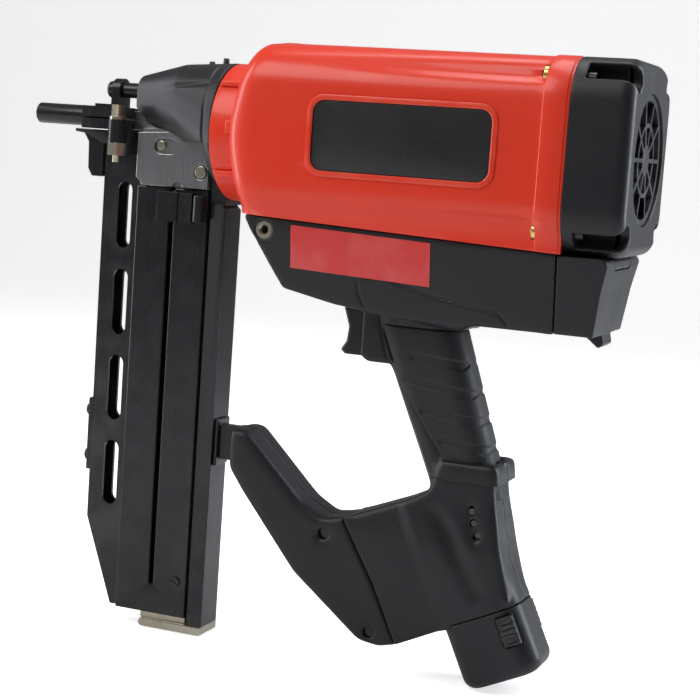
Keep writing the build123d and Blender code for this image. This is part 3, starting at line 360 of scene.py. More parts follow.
def distance_to_line(p, a, b):
    """How far (x, z) lies from a stretch of line, and the share of the way along it."""
    run_x, run_z = b[0] - a[0], b[1] - a[1]
    share = ((p[0] - a[0]) * run_x + (p[1] - a[1]) * run_z) / (run_x**2 + run_z**2)
    share = min(1.0, max(0.0, share))
    return math.hypot(p[0] - a[0] - share * run_x, p[1] - a[1] - share * run_z), share


# ------------------------------------------------------------------ materials
def add_node(tree, kind, inputs=(), **settings):
    """A shader node. An input given as a socket is linked, and any other is set on the socket."""
    made = tree.nodes.new(kind)
    for key, value in settings.items():
        setattr(made, key, value)
    for key, value in dict(inputs).items():
        socket = made.inputs[key]
        if isinstance(value, bpy.types.NodeSocket):
            tree.links.new(value, socket)
        else:
            socket.default_value = value
    return made


def new_group(name, inputs, outputs):
    """An empty shader node group with named sockets, and its input and output nodes."""
    group = bpy.data.node_groups.new(name, "ShaderNodeTree")
    for label, kind, default in inputs:
        socket = group.interface.new_socket(name=label, in_out="INPUT", socket_type=kind)
        if default is not None:
            socket.default_value = default
    for label, kind in outputs:
        group.interface.new_socket(name=label, in_out="OUTPUT", socket_type=kind)
    return group, group.nodes.new("NodeGroupInput"), group.nodes.new("NodeGroupOutput")


def grain_group():
    """Fine moulded texture: a height for a bump and a small change of roughness."""
    name = "Moulded grain"
    if name in bpy.data.node_groups:
        return bpy.data.node_groups[name]
    inputs = [("Scale", "NodeSocketFloat", 900.0), ("Roughness", "NodeSocketFloat", 0.4)]
    outputs = [("Height", "NodeSocketFloat"), ("Roughness", "NodeSocketFloat")]
    group, given, result = new_group(name, inputs, outputs)
    coords = group.nodes.new("ShaderNodeTexCoord").outputs["Object"]
    scale = given.outputs["Scale"]
    fine = add_node(group, "ShaderNodeTexNoise", {"Vector": coords, "Scale": scale, "Detail": 3.0})
    wide = add_node(group, "ShaderNodeTexNoise", {"Vector": coords, "Scale": 22.0, "Detail": 4.0})
    spread = add_node(
        group,
        "ShaderNodeMapRange",
        {"Value": wide.outputs[0], "From Min": 0.3, "From Max": 0.7, "To Min": -0.07, "To Max": 0.07},
    )
    total = add_node(
        group, "ShaderNodeMath", {0: given.outputs["Roughness"], 1: spread.outputs[0]}, operation="ADD"
    )
    group.links.new(fine.outputs[0], result.inputs["Height"])
    group.links.new(total.outputs[0], result.inputs["Roughness"])
    return group


def wear_group():
    """Handling marks: paler rubbed edges and faint smudges over a colour."""
    name = "Handling wear"
    if name in bpy.data.node_groups:
        return bpy.data.node_groups[name]
    inputs = [
        ("Color", "NodeSocketColor", (0.5, 0.5, 0.5, 1.0)),
        ("Worn Color", "NodeSocketColor", (0.8, 0.8, 0.8, 1.0)),
        ("Amount", "NodeSocketFloat", 0.3),
    ]
    group, given, result = new_group(name, inputs, [("Color", "NodeSocketColor")])
    coords = group.nodes.new("ShaderNodeTexCoord").outputs["Object"]
    edges = group.nodes.new("ShaderNodeNewGeometry").outputs["Pointiness"]
    edge = add_node(group, "ShaderNodeMapRange", {"Value": edges, "From Min": 0.52, "From Max": 0.62})
    patches = add_node(group, "ShaderNodeTexNoise", {"Vector": coords, "Scale": 60.0, "Detail": 5.0})
    patch = add_node(
        group, "ShaderNodeMapRange", {"Value": patches.outputs[0], "From Min": 0.42, "From Max": 0.62}
    )
    both = add_node(group, "ShaderNodeMath", {0: edge.outputs[0], 1: patch.outputs[0]}, operation="MULTIPLY")
    share = add_node(
        group, "ShaderNodeMath", {0: both.outputs[0], 1: given.outputs["Amount"]}, operation="MULTIPLY"
    )
    mix = add_node(group, "ShaderNodeMix", {0: share.outputs[0]}, data_type="RGBA")
    group.links.new(given.outputs["Color"], mix.inputs[6])
    group.links.new(given.outputs["Worn Color"], mix.inputs[7])
    group.links.new(mix.outputs[2], result.inputs["Color"])
    return group


def drawn_group():
    """Lines along the length of drawn or rolled metal: a height and a change of roughness."""
    name = "Drawn metal"
    if name in bpy.data.node_groups:
        return bpy.data.node_groups[name]
    inputs = [("Stretch", "NodeSocketVector", (1.0, 1.0, 0.02)), ("Roughness", "NodeSocketFloat", 0.35)]
    outputs = [("Height", "NodeSocketFloat"), ("Roughness", "NodeSocketFloat")]
    group, given, result = new_group(name, inputs, outputs)
    coords = group.nodes.new("ShaderNodeTexCoord").outputs["Object"]
    place_in = add_node(
        group, "ShaderNodeVectorMath", {0: coords, 1: given.outputs["Stretch"]}, operation="MULTIPLY"
    )
    lines = add_node(
        group, "ShaderNodeTexNoise", {"Vector": place_in.outputs[0], "Scale": 1400.0, "Detail": 3.0}
    )
    spread = add_node(group, "ShaderNodeMapRange", {"Value": lines.outputs[0], "To Min": -0.1, "To Max": 0.1})
    total = add_node(
        group, "ShaderNodeMath", {0: given.outputs["Roughness"], 1: spread.outputs[0]}, operation="ADD"
    )
    group.links.new(lines.outputs[0], result.inputs["Height"])
    group.links.new(total.outputs[0], result.inputs["Roughness"])
    return group


# slot: colour, worn colour, metallic, roughness, texture, texture's bump in metres, wear, coat
FINISHES = {
    "red_housing_plastic": ("red", (0.95, 0.35, 0.2), 0.0, 0.36, "grain", 0.00003, 0.25, 0.15),
    "black_plastic": ("black", (0.12, 0.12, 0.13), 0.0, 0.43, "grain", 0.00005, 0.35, 0.0),
    "grip_rubber": ("rubber", (0.08, 0.08, 0.085), 0.0, 0.55, "grain", 0.00006, 0.3, 0.0),
    "black_oxide_steel": ("oxide", (0.16, 0.16, 0.17), 0.35, 0.25, "drawn", 0.00001, 0.12, 0.0),
    "black_anodised_aluminium": ("anodised", (0.16, 0.16, 0.17), 0.35, 0.25, "drawn", 0.00001, 0.10, 0.0),
    "grey_steel": ("steel", (0.6, 0.6, 0.58), 0.85, 0.30, "drawn", 0.00001, 0.3, 0.0),
    "zinc_plate": ("zinc", (0.8, 0.78, 0.7), 0.95, 0.28, "grain", 0.00001, 0.3, 0.0),
    "cast_aluminium": ("cast", (0.8, 0.8, 0.8), 0.9, 0.42, "grain", 0.00006, 0.3, 0.0),
    "brass": ("brass", (0.9, 0.75, 0.4), 1.0, 0.25, "grain", 0.00001, 0.2, 0.0),
    "blank_badge": ("badge", (0.1, 0.1, 0.1), 0.0, 0.3, "grain", 0.00001, 0.1, 0.3),
    "blank_label": ("label", (0.9, 0.5, 0.5), 0.0, 0.4, "grain", 0.00001, 0.15, 0.1),
    "bumper_rubber": ("rubber", (0.1, 0.1, 0.1), 0.0, 0.7, "grain", 0.00005, 0.1, 0.0),
    "filter_foam": ("foam", (0.2, 0.2, 0.2), 0.0, 0.95, "grain", 0.0003, 0.1, 0.0),
    "ceramic_plug": ("ceramic", (0.9, 0.9, 0.9), 0.0, 0.2, "grain", 0.00001, 0.1, 0.4),
    "lamp_lens": ("lamp", (0.3, 0.3, 0.3), 0.0, 0.15, "grain", 0.00001, 0.1, 0.5),
    "circuit_board": ("board", (0.1, 0.4, 0.2), 0.0, 0.4, "grain", 0.00002, 0.1, 0.2),
    "fuel_can": ("can", (0.85, 0.85, 0.85), 0.9, 0.25, "drawn", 0.00001, 0.2, 0.0),
    "cell_wrap": ("wrap", (0.3, 0.4, 0.6), 0.0, 0.3, "grain", 0.00001, 0.1, 0.3),
}


def finish_for(slot):
    """The material of one of the record's slots, made the first time it is asked for."""
    name = "finish_" + slot
    if name in bpy.data.materials:
        return bpy.data.materials[name]
    colour, worn, metallic, roughness, texture, bump_depth, wear, coat = FINISHES[slot]
    material = bpy.data.materials.new(name)
    material.use_nodes = True
    tree = material.node_tree
    shader = tree.nodes["Principled BSDF"]
    shader.inputs["Metallic"].default_value = metallic
    shader.inputs["Coat Weight"].default_value = coat
    shader.inputs["Specular IOR Level"].default_value = 0.5 if metallic else 0.36
    base = tuple(getattr(bpy.context.scene.stapler_colours, colour)) + (1.0,)
    rubbed = add_node(tree, "ShaderNodeGroup", node_tree=wear_group())
    rubbed.inputs["Color"].default_value = base
    rubbed.inputs["Worn Color"].default_value = tuple(worn) + (1.0,)
    rubbed.inputs["Amount"].default_value = wear
    surface_group = grain_group() if texture == "grain" else drawn_group()
    surface = add_node(tree, "ShaderNodeGroup", node_tree=surface_group)
    surface.inputs["Roughness"].default_value = roughness
    bump = add_node(
        tree, "ShaderNodeBump", {"Height": surface.outputs["Height"], "Distance": bump_depth, "Strength": 0.8}
    )
    tree.links.new(rubbed.outputs["Color"], shader.inputs["Base Color"])
    tree.links.new(surface.outputs["Roughness"], shader.inputs["Roughness"])
    tree.links.new(bump.outputs["Normal"], shader.inputs["Normal"])
    return material


# ------------------------------------------------------------------ settings
def colour_value(label, about, value):
    return FloatVectorProperty(
        name=label, description=about, default=value, size=3, min=0.0, max=1.0, subtype="COLOR"
    )


class StaplerSizes(bpy.types.PropertyGroup):
    edge_break: FloatProperty(
        name="Edge break", description="Rounding on metal edges, in millimetres", default=0.4, min=0.0
    )
    mould_grid: FloatProperty(
        name="Mould grid", description="Grid that moulded skins are fused on, in mm", default=0.9, min=0.3
    )
    cove_depth: FloatProperty(
        name="Cove depth", description="Depth of the housing's corner coves, in mm", default=3.6, min=0.0
    )
    groove_depth: FloatProperty(
        name="Grip groove depth", description="Depth of the finger grooves, in mm", default=0.8, min=0.0
    )
    housing_turns: IntProperty(
        name="Housing facets", description="Points round the red housing", default=144, min=48
    )


class StaplerColours(bpy.types.PropertyGroup):
    red: colour_value("Red", "The housing's plastic", (0.72, 0.036, 0.012))
    black: colour_value("Black", "The black mouldings", (0.0105, 0.0105, 0.0130))
    rubber: colour_value("Rubber", "The grip's cover and the bumper", (0.016, 0.016, 0.018))
    oxide: colour_value("Oxide", "Blackened steel", (0.016, 0.0165, 0.019))
    anodised: colour_value("Anodised", "The magazine's channel", (0.014, 0.0145, 0.017))
    steel: colour_value("Steel", "Bare steel of the nose", (0.27, 0.27, 0.285))
    zinc: colour_value("Zinc", "Plated screws and the foot", (0.40, 0.37, 0.29))
    cast: colour_value("Cast", "The engine's castings", (0.58, 0.58, 0.60))
    brass: colour_value("Brass", "The threaded inserts", (0.72, 0.50, 0.18))
    badge: colour_value("Badge", "The blank side badge", (0.018, 0.018, 0.020))
    label: colour_value("Label", "The blank data label", (0.60, 0.040, 0.038))
    foam: colour_value("Foam", "The air filter", (0.02, 0.02, 0.02))
    ceramic: colour_value("Ceramic", "The spark plug", (0.85, 0.85, 0.82))
    lamp: colour_value("Lamp", "The status lights", (0.01, 0.01, 0.012))
    board: colour_value("Board", "The trigger circuit", (0.02, 0.16, 0.06))
    can: colour_value("Can", "The fuel cell", (0.7, 0.7, 0.72))
    wrap: colour_value("Wrap", "The battery's cells", (0.05, 0.12, 0.4))


# ------------------------------------------------------------------ red housing
NECK_X, DOME_X = -231.0, -216.0
BARREL_X = -198.0
WALL = 3.0
HALF_WIDTH, HALF_HEIGHT, CORNER = 53.4, 57.0, 28.0
NECK_RADIUS = 44.0
SKIRT_HALF = 45.8
PANEL = (-157.4, -44.6, -19.4, 23.0)  # low x, high x, low z, high z
NECK_RIB_HALF = 2.4
INSERT_Y, INSERT_Z = 42.5, 45.0
SPLIT_FRONT = (-203.0, -49.5)  # where the joint between housing and handle starts, and its slope back
SPLIT_SLOPE = -7.5 / 200.0


def round_box_reach(angle, half_width, half_height, corner):
    """The distance from the centre to a rounded rectangle's edge in a direction."""
    c, s = abs(math.cos(angle)), abs(math.sin(angle))
    centre_u, centre_v = half_width - corner, half_height - corner
    straight = half_width / c if c > 1e-9 else 1e9
    if straight * s <= centre_v:
        return straight
    straight = half_height / s if s > 1e-9 else 1e9
    if straight * c <= centre_u:
        return straight
    dot = c * centre_u + s * centre_v
    return dot + math.sqrt(dot * dot - centre_u**2 - centre_v**2 + corner**2)


def dome_share(x):
    """0 on the neck and 1 on the barrel, along a quarter of an ellipse."""
    share = min(1.0, max(0.0, (x - DOME_X) / (BARREL_X - DOME_X)))
    return math.sqrt(1 - (1 - share) ** 2)


def housing_reach(x, angle, turn_in, cove_depth):
    """The housing's radius at x in a direction, drawn in by turn_in from the outer skin."""
    lean = 2.2 * abs(math.sin(angle)) ** 2
    share = dome_share(x - 3.0 * lean)
    reach = NECK_RADIUS - turn_in
    barrel = round_box_reach(
        angle, HALF_WIDTH - turn_in, HALF_HEIGHT - turn_in, max(CORNER - turn_in, 2.0)
    )
    if math.sin(angle) < 0 and x > -206:
        skirt = round_box_reach(angle, SKIRT_HALF - turn_in, 66.0 - turn_in, 2.0)
        blend = 1.5
        barrel = 0.5 * (barrel + skirt + math.sqrt((barrel - skirt) ** 2 + blend))
    reach += (barrel - reach) * share
    flange = smooth_step(-16.2, -15.2, x) - smooth_step(-2.2, -1.4, x)
    reach += 0.9 * flange
    if cove_depth:
        along_cove = smooth_step(-182, -20, x) * (1 - smooth_step(-17.0, -15.6, x))
        for heading in (44.0, 136.0, -40.0, -140.0):
            off = (math.degrees(angle) - heading + 180) % 360 - 180
            reach -= cove_depth * along_cove * math.exp(-((math.radians(off) * reach / 5.0) ** 2))
    return reach


def housing_rings(turns, cove_depth):
    outer_x = [NECK_X, -230.4, -224.0, -218.5]
    outer_x += [DOME_X + 18.0 * (1 - math.cos(math.radians(90 * k / 14))) for k in range(15)]
    outer_x += [-190 + 9.0 * k for k in range(20)]
    outer_x += [-16.4, -16.0, -15.5, -15.0, -10.0, -2.4, -2.0, -1.6, -1.2, -0.2]
    outer_x = sorted(set(x for x in outer_x if x <= -0.1))
    rings = []
    angles = [2 * math.pi * k / turns - math.pi for k in range(turns)]
    for x in outer_x:
        ring = []
        edge = 0.6 if x == NECK_X else 0.0
        for angle in angles:
            reach = housing_reach(x, angle, 0.0, cove_depth) - edge
            ring.append(Vector((x, reach * math.cos(angle), reach * math.sin(angle))))
        rings.append(ring)
    for x in reversed(outer_x):
        ring = []
        for angle in angles:
            reach = housing_reach(x, angle, WALL, cove_depth)
            ring.append(Vector((x, reach * math.cos(angle), reach * math.sin(angle))))
        rings.append(ring)
    return rings


def below_split():
    """Everything under the sloping joint between the housing and the handle."""
    outline = [(-260.0, -130.0), (20.0, -130.0)]
    for x in (20.0, -260.0):
        outline.append((x, SPLIT_FRONT[1] + SPLIT_SLOPE * (x - SPLIT_FRONT[0])))
    return prism(outline, -80, 80)


class MESH_OT_stapler_housing(bpy.types.Operator):
    """Builds the red housing with its dome, coves, panel frames, lugs and screw pads"""

    bl_idname = "mesh.stapler_housing"
    bl_label = "Red housing"

    def execute(self, context):
        sizes = context.scene.stapler_sizes
        shell = solid(
            "red_housing_shell", loft(housing_rings(sizes.housing_turns, sizes.cove_depth), hollow=True)
        )
        x0, x1, z0, z1 = PANEL
        middle = ((x0 + x1) / 2, (z0 + z1) / 2)
        cutters = [below_split()]
        insert_bore = [(-20.0, 2.9), (-18.6, 2.9), (-18.5, 5.9), (-15.3, 5.9), (-15.2, 2.9), (1.0, 2.9)]
        for side in (-1, 1):
            low, high = sorted((side * (HALF_WIDTH - 1.7), side * 80.0))
            cutters.append(
                prism(rounded_box_outline(*middle, x1 - x0, z1 - z0, 7.5), low, high)
            )
            for z in (INSERT_Z, -INSERT_Z):
                cutters.append(turned(insert_bore, "X", side * INSERT_Y, z, 32))
        carve(shell, *cutters)
        frames = []
        for side in (-1, 1):
            levels = ((0.0, HALF_WIDTH - 1.0), (0.0, HALF_WIDTH + 0.9), (1.0, HALF_WIDTH + 1.25))
            levels += ((2.6, HALF_WIDTH + 1.25), (3.4, HALF_WIDTH + 0.6), (3.4, HALF_WIDTH - 1.0))
            rings = []
            for inset, y in levels:
                outline = rounded_box_outline(
                    *middle, x1 - x0 + 6.8 - 2 * inset, z1 - z0 + 6.8 - 2 * inset, 10.9 - inset
                )
                rings.append([Vector((p.x, side * y, p.y)) for p in outline])
            frames.append(loft(rings, hollow=True))
        details = [prism([(-201, 52), (-190, 52), (-190, 58.6), (-199.6, 58.6), (-200.6, 57.6)], -5, 5)]
        details.append(box(-176, -169, -3, 3, 55, 58.2))
        for side in (-1, 1):
            for z in (30.0, -26.0):
                y = side * (math.sqrt(NECK_RADIUS**2 - z**2) + 0.8)
                details.append(box(-229, -207, y - NECK_RIB_HALF, y + NECK_RIB_HALF, z - 1.6, z + 1.6))
            low, high = sorted((side * 40.0, side * 46.4))
            details.append(box(-219, -212, low, high, -1, 7))
        extras = ease(solid("housing_extras", *details), 0.8)
        ease(shell, 0.5, 2, 40)
        whole = fused("red_housing", shell, extras, solid("panel_frames", *frames))
        place(whole, "housing", "red_housing_plastic", "main_housing", smooth_angle=32)
        return {"FINISHED"}


class MESH_OT_stapler_inserts(bpy.types.Operator):
    """Builds the brass inserts, the cap's screws and the belt hook's insert"""

    bl_idname = "mesh.stapler_inserts"
    bl_label = "Inserts and screws"

    def execute(self, context):
        edge = context.scene.stapler_sizes.edge_break
        collars = []
        for y in (-INSERT_Y, INSERT_Y):
            for z in (-INSERT_Z, INSERT_Z):
                collars.append(tube(-18.4, -15.4, 5.4, 2.9, 0.4, "X", y, z, 32))
        inserts = fused("inserts_finished", from_node("housing_inserts"), solid("collars", *collars))
        place(inserts, "housing", "brass", "housing_inserts")
        machined("cap_screws", "housing", "black_oxide_steel", edge)
        screws = keep_inside(from_node("shell_screws"), box(-400, 100, -13.4, 60, -340, 20))
        place(screws, "housing", "black_oxide_steel", "shell_screws")
        low, high = tool_box("hook_insert")
        middle = (low + high) / 2
        collar = tube(low.y, low.y + 2.0, 5.9, 2.7, 0.6, "Y", middle.x, middle.z)
        sleeve = tube(low.y + 2.0, high.y, 4.9, 2.6, 0.4, "Y", middle.x, middle.z)
        place(solid("hook_insert_finished", collar, sleeve), "housing", "zinc_plate", "hook_insert")
        return {"FINISHED"}


# ------------------------------------------------------------------ moulded black pieces
def moulded(node, grid, passes, share=0.35):
    return melt(from_node(node), grid, passes, share)


class MESH_OT_stapler_nose_cover(bpy.types.Operator):
    """Builds the black cone between the red housing and the nose"""

    bl_idname = "mesh.stapler_nose_cover"
    bl_label = "Nose cover"

    def execute(self, context):
        grid = context.scene.stapler_sizes.mould_grid
        cover = moulded("nose_cover", grid * 0.75, 5, 1.0)

        def depth_at(place_at, normal):
            crease = groove(31.0 + 0.12 * (place_at.x + 231), 1.6, 0.9)
            fade = smooth_step(-278, -258, place_at.x) * (1 - smooth_step(-241, -236, place_at.x))
            ring = groove(-238.5, 0.8, 0.7)
            outside = 1.0 if normal.y * place_at.y > 0 or normal.z > 0.2 else 0.0
            return -outside * (crease(place_at.z) * fade + ring(place_at.x))

        press_in(cover, depth_at)
        nubs = []
        for x in (-262.0, -253.0, -243.0):
            z = 41.3 + (x + 262) * 0.25
            nubs.append(turned([(z - 3, 2.1), (z + 0.6, 1.9), (z + 1.0, 1.4)], "Z", x, 0.0, 20))
        whole = fused("nose_cover_finished", cover, solid("nubs", *nubs))
        place(whole, "housing", "black_plastic", "nose_cover", smooth_angle=50)
        return {"FINISHED"}


class MESH_OT_stapler_rear_cap(bpy.types.Operator):
    """Builds the rear cap and its intake grille"""

    bl_idname = "mesh.stapler_rear_cap"
    bl_label = "Rear cap"

    def execute(self, context):
        sizes = context.scene.stapler_sizes
        cap = moulded("rear_cap", sizes.mould_grid * 0.8, 4)
        place(cap, "housing", "black_plastic", "rear_cap", smooth_angle=50)
        machined("intake_grille", "housing", "black_plastic", 0.6)
        return {"FINISHED"}


LIGHTS = [(-49.0, -221.0), (-47.0, -228.0), (-44.0, -235.0)]
RIDGE = ((-92.0, -222.0), (-57.0, -296.0))
VALLEY = ((-72.0, -222.0), (-42.0, -270.0))
GRIP_SEAM = [(-127.0, -84.0), (-126.5, -91.0), (-120.5, -103.0), (-116.0, -122.0), (-112.0, -134.0)]
GRIP_SEAM += [(-87.0, -168.5), (-61.0, -203.0)]
TOP_SEAM = [(-127.0, -84.0), (-118.0, -81.5), (-111.0, -81.0), (-75.0, -90.0)]
TOP_SEAM += [(-36.6, -96.0), (-31.0, -102.0)]
BATTERY_SEAM = 241.0
BATTERY_SIN, BATTERY_COS = 0.4305, 0.9026
BASE_HALF = 22.0
ARM_SEAM = ((-135.0, -233.0), (-93.0, -312.0))


def down_battery(p):
    """How far a point lies down the battery's tilted axis."""
    return BATTERY_SIN * p.x - BATTERY_COS * p.z


def handle_softness(p):
    """1 on the base and the trigger's hump, less on the body, and 0 where other pieces meet the shell."""
    if p.z > -106.0:
        top = 1 - smooth_step(-66.0, -58.0, p.z)
        rear = 1 - smooth_step(-14.0, -6.0, p.x)
        return 0.2 * top * rear
    soft = 1 - smooth_step(BATTERY_SEAM - 12.0, BATTERY_SEAM - 3.0, down_battery(p))
    soft *= 1 - smooth_step(-9.0, -2.0, ahead_of((p.x, p.z), *ARM_SEAM))
    if p.x < -104.0 and p.z > -140.0:
        return 0.15 * soft
    return soft * smooth_step(1.2, 5.0, abs(p.y))


def handle_waist(p):
    """Draws in the flat of the base in front of the battery's tube, and the valley behind its ridge."""
    if p.z > -203.0:
        return p
    limit = 18.3 + (BASE_HALF - 18.3) * smooth_step(-208.0, -248.0, p.z)
    across = abs(p.y)
    if across > 12.0:
        across = 12.0 + (across - 12.0) * (limit - 12.0) / (BASE_HALF - 12.0)
    overhang = 3.6 * (1 - smooth_step(-206.0, -242.0, p.z)) * smooth_step(-52.0, -36.0, p.x)
    p = Vector((p.x - overhang, math.copysign(across, p.y), p.z))
    ahead = ahead_of((p.x, p.z), *RIDGE)
    down = smooth_step(-214.0, -236.0, p.z)
    fade = 1 - smooth_step(BATTERY_SEAM - 14.0, BATTERY_SEAM - 2.0, down_battery(p))
    flat = 0.15 * smooth_step(-1.0, 9.0, ahead) * smooth_step(-206.0, -226.0, p.z)
    away, share = distance_to_line((p.x, p.z), *VALLEY)
    dip = 0.13 * math.exp(-((away / 6.0) ** 2)) * (1 - 0.6 * share) * down * fade
    return Vector((p.x, p.y * (1 - flat - dip), p.z))


def handle_seams(p, normal):
    """The fine joint lines round the grip's cover, on the outside of the shells."""
    if p.z < -140.0 or normal.y * p.y <= 0:
        return 0.0
    depth = 0.0
    for line in (GRIP_SEAM, TOP_SEAM):
        for a, b in zip(line, line[1:]):
            if min(a[0], b[0]) - 3 < p.x < max(a[0], b[0]) + 3:
                away, _ = distance_to_line((p.x, p.z), a, b)
                depth = max(depth, math.exp(-((away / 0.75) ** 2)))
    return -0.9 * depth


class MESH_OT_stapler_handle(bpy.types.Operator):
    """Builds the two shells of the handle, with the lights' holes and the label's bed"""

    bl_idname = "mesh.stapler_handle"
    bl_label = "Handle shells"

    def execute(self, context):
        grid = context.scene.stapler_sizes.mould_grid
        for side, sign in (("left", -1), ("right", 1)):
            shell = moulded(f"handle_shell_{side}", grid, 5, 1.0)
            soften(shell, handle_softness, 160)
            reshape(shell, handle_waist)
            press_in(shell, handle_seams)
            if sign < 0:
                holes = []
                for x, z in LIGHTS:
                    holes.append(turned([(-30.0, 2.4), (-17.4, 2.4)], "Y", x, z, 24))
                carve(shell, *holes)
            thinned(shell, 0.4)
            place(shell, "housing", "black_plastic", f"handle_shell_{side}", smooth_angle=50)
        return {"FINISHED"}


GRIP_ANGLE = math.radians(19.0)
FINGER_GROOVES = [
    ((-94.0, -129.5), (-63.5, -132.5)),
    ((-98.0, -144.0), (-57.0, -150.0)),
    ((-85.0, -162.0), (-50.5, -166.5)),
    ((-71.0, -179.5), (-45.0, -183.5)),
    ((-57.0, -199.0), (-39.5, -200.0)),
]


def grip_softness(p):
    """Full along the rounded back of the grip and none at the cover's joints."""
    across = p.x * math.cos(GRIP_ANGLE) + p.z * math.sin(GRIP_ANGLE)
    ends = smooth_step(-206.0, -196.0, p.z) * (1 - smooth_step(-118.0, -112.0, p.z))
    return ends * smooth_step(-124.0, -112.0, across)


class MESH_OT_stapler_grip(bpy.types.Operator):
    """Builds the rubber cover of the grip with its five shallow grooves"""

    bl_idname = "mesh.stapler_grip"
    bl_label = "Grip cover"

    def execute(self, context):
        sizes = context.scene.stapler_sizes
        cover = moulded("grip_cover", sizes.mould_grid * 0.7, 4, 1.0)
        soften(cover, grip_softness, 90)

        def depth_at(place_at, normal):
            outside = normal.y * place_at.y > 0 or normal.x > 0.3
            if not outside:
                return 0.0
            deepest = 0.0
            for a, b in FINGER_GROOVES:
                away, _ = distance_to_line((place_at.x, place_at.z), a, b)
                deepest = max(deepest, 1 - smooth_step(2.2, 3.2, away))
            return -sizes.groove_depth * deepest

        press_in(cover, depth_at)
        place(cover, "housing", "grip_rubber", "grip_cover", smooth_angle=60)
        return {"FINISHED"}


ARM_SCREWS = [(-147.0, -250.0), (-112.0, -309.0)]


def arm_softness(p):
    """Full along the arm's long edges and none at its joint with the handle or along the mid-plane."""
    joint = smooth_step(2.0, 9.0, ahead_of((p.x, p.z), *ARM_SEAM))
    return joint * smooth_step(1.2, 5.0, abs(p.y))


class MESH_OT_stapler_arm(bpy.types.Operator):
    """Builds the two shells of the arm that holds the magazine"""

    bl_idname = "mesh.stapler_arm"
    bl_label = "Arm shells"

    def execute(self, context):
        grid = context.scene.stapler_sizes.mould_grid
        for side in ("left", "right"):
            shell = moulded(f"arm_shell_{side}", grid, 5, 1.0)
            soften(shell, arm_softness, 120)
            if side == "left":
                holes = []
                for x, z in ARM_SCREWS:
                    holes.append(turned([(-25.0, 3.7), (-13.2, 3.5)], "Y", x, z, 32))
                carve(shell, *holes)
            thinned(shell, 0.4)
            place(shell, "housing", "black_plastic", f"arm_shell_{side}", smooth_angle=50)
        return {"FINISHED"}


class MESH_OT_stapler_door(bpy.types.Operator):
    """Builds the fuel door and the pin it turns on"""

    bl_idname = "mesh.stapler_door"
    bl_label = "Fuel door"

    def execute(self, context):
        sizes = context.scene.stapler_sizes
        door = moulded("fuel_door", sizes.mould_grid * 0.8, 5)
        place(door, "fuel_door", "black_plastic", "fuel_door", smooth_angle=50)
        machined("door_pin", "housing", "grey_steel", 0.2)
        return {"FINISHED"}


class MESH_OT_stapler_battery(bpy.types.Operator):
    """Builds the battery's case and its two ribbed release buttons"""

    bl_idname = "mesh.stapler_battery"
    bl_label = "Battery"

    def execute(self, context):
        sizes = context.scene.stapler_sizes
        case = moulded("battery_case", sizes.mould_grid * 0.8, 5)
        place(case, "battery", "black_plastic", "battery_case", smooth_angle=50)
        for side, sign in (("left", -1), ("right", 1)):
            node = f"battery_button_{side}"
            low, high = tool_box(node)
            button = ease(from_node(node), 0.5, 2)
            middle = (low + high) / 2
            outer = low.y if sign < 0 else high.y
            ribs = []
            for k in range(5):
                step = (k - 2) * 2.9
                x = middle.x - BATTERY_SIN * step
                z = middle.z + BATTERY_COS * step
                low_y, high_y = sorted((outer - sign * 0.3, outer + sign * 0.5))
                rib = []
                for u, v in ((-3.6, -0.55), (3.6, -0.55), (3.6, 0.55), (-3.6, 0.55)):
                    run = u * BATTERY_COS - v * BATTERY_SIN
                    rib.append((x + run, z + u * BATTERY_SIN + v * BATTERY_COS))
                ribs.append(prism(rib, low_y, high_y))
            whole = fused(node + "_finished", button, solid("ribs", *ribs))
            place(whole, node, "black_plastic", node)
        return {"FINISHED"}


class MESH_OT_stapler_trigger(bpy.types.Operator):
    """Builds the trigger with its hollowed front"""

    bl_idname = "mesh.stapler_trigger"
    bl_label = "Trigger"

    def execute(self, context):
        piece = moulded("trigger", 0.45, 5)
        place(piece, "trigger", "black_plastic", "trigger", smooth_angle=60)
        return {"FINISHED"}


class MESH_OT_stapler_badges(bpy.types.Operator):
    """Builds the blank side badges and the blank data label"""

    bl_idname = "mesh.stapler_badges"
    bl_label = "Badges and label"

    def execute(self, context):
        x0, x1, z0, z1 = PANEL
        middle = ((x0 + x1) / 2, (z0 + z1) / 2)
        plates = []
        for side in (-1, 1):
            low, high = sorted((side * (HALF_WIDTH - 1.6), side * (HALF_WIDTH - 0.1)))
            plates.append(prism(rounded_box_outline(*middle, x1 - x0 - 0.5, z1 - z0 - 0.5, 7.2), low, high))
        badges = ease(solid("side_badges_finished", *plates), 0.4)
        place(badges, "housing", "blank_badge", "side_badges")
        machined("data_label", "housing", "blank_label", 0.1)
        lenses = [bar(-18.2, -15.0, 2.3, 0.4, "Y", x, z, 24) for x, z in LIGHTS]
        place(solid("lamp_lenses", *lenses), "housing", "lamp_lens", "status_lights")
        return {"FINISHED"}


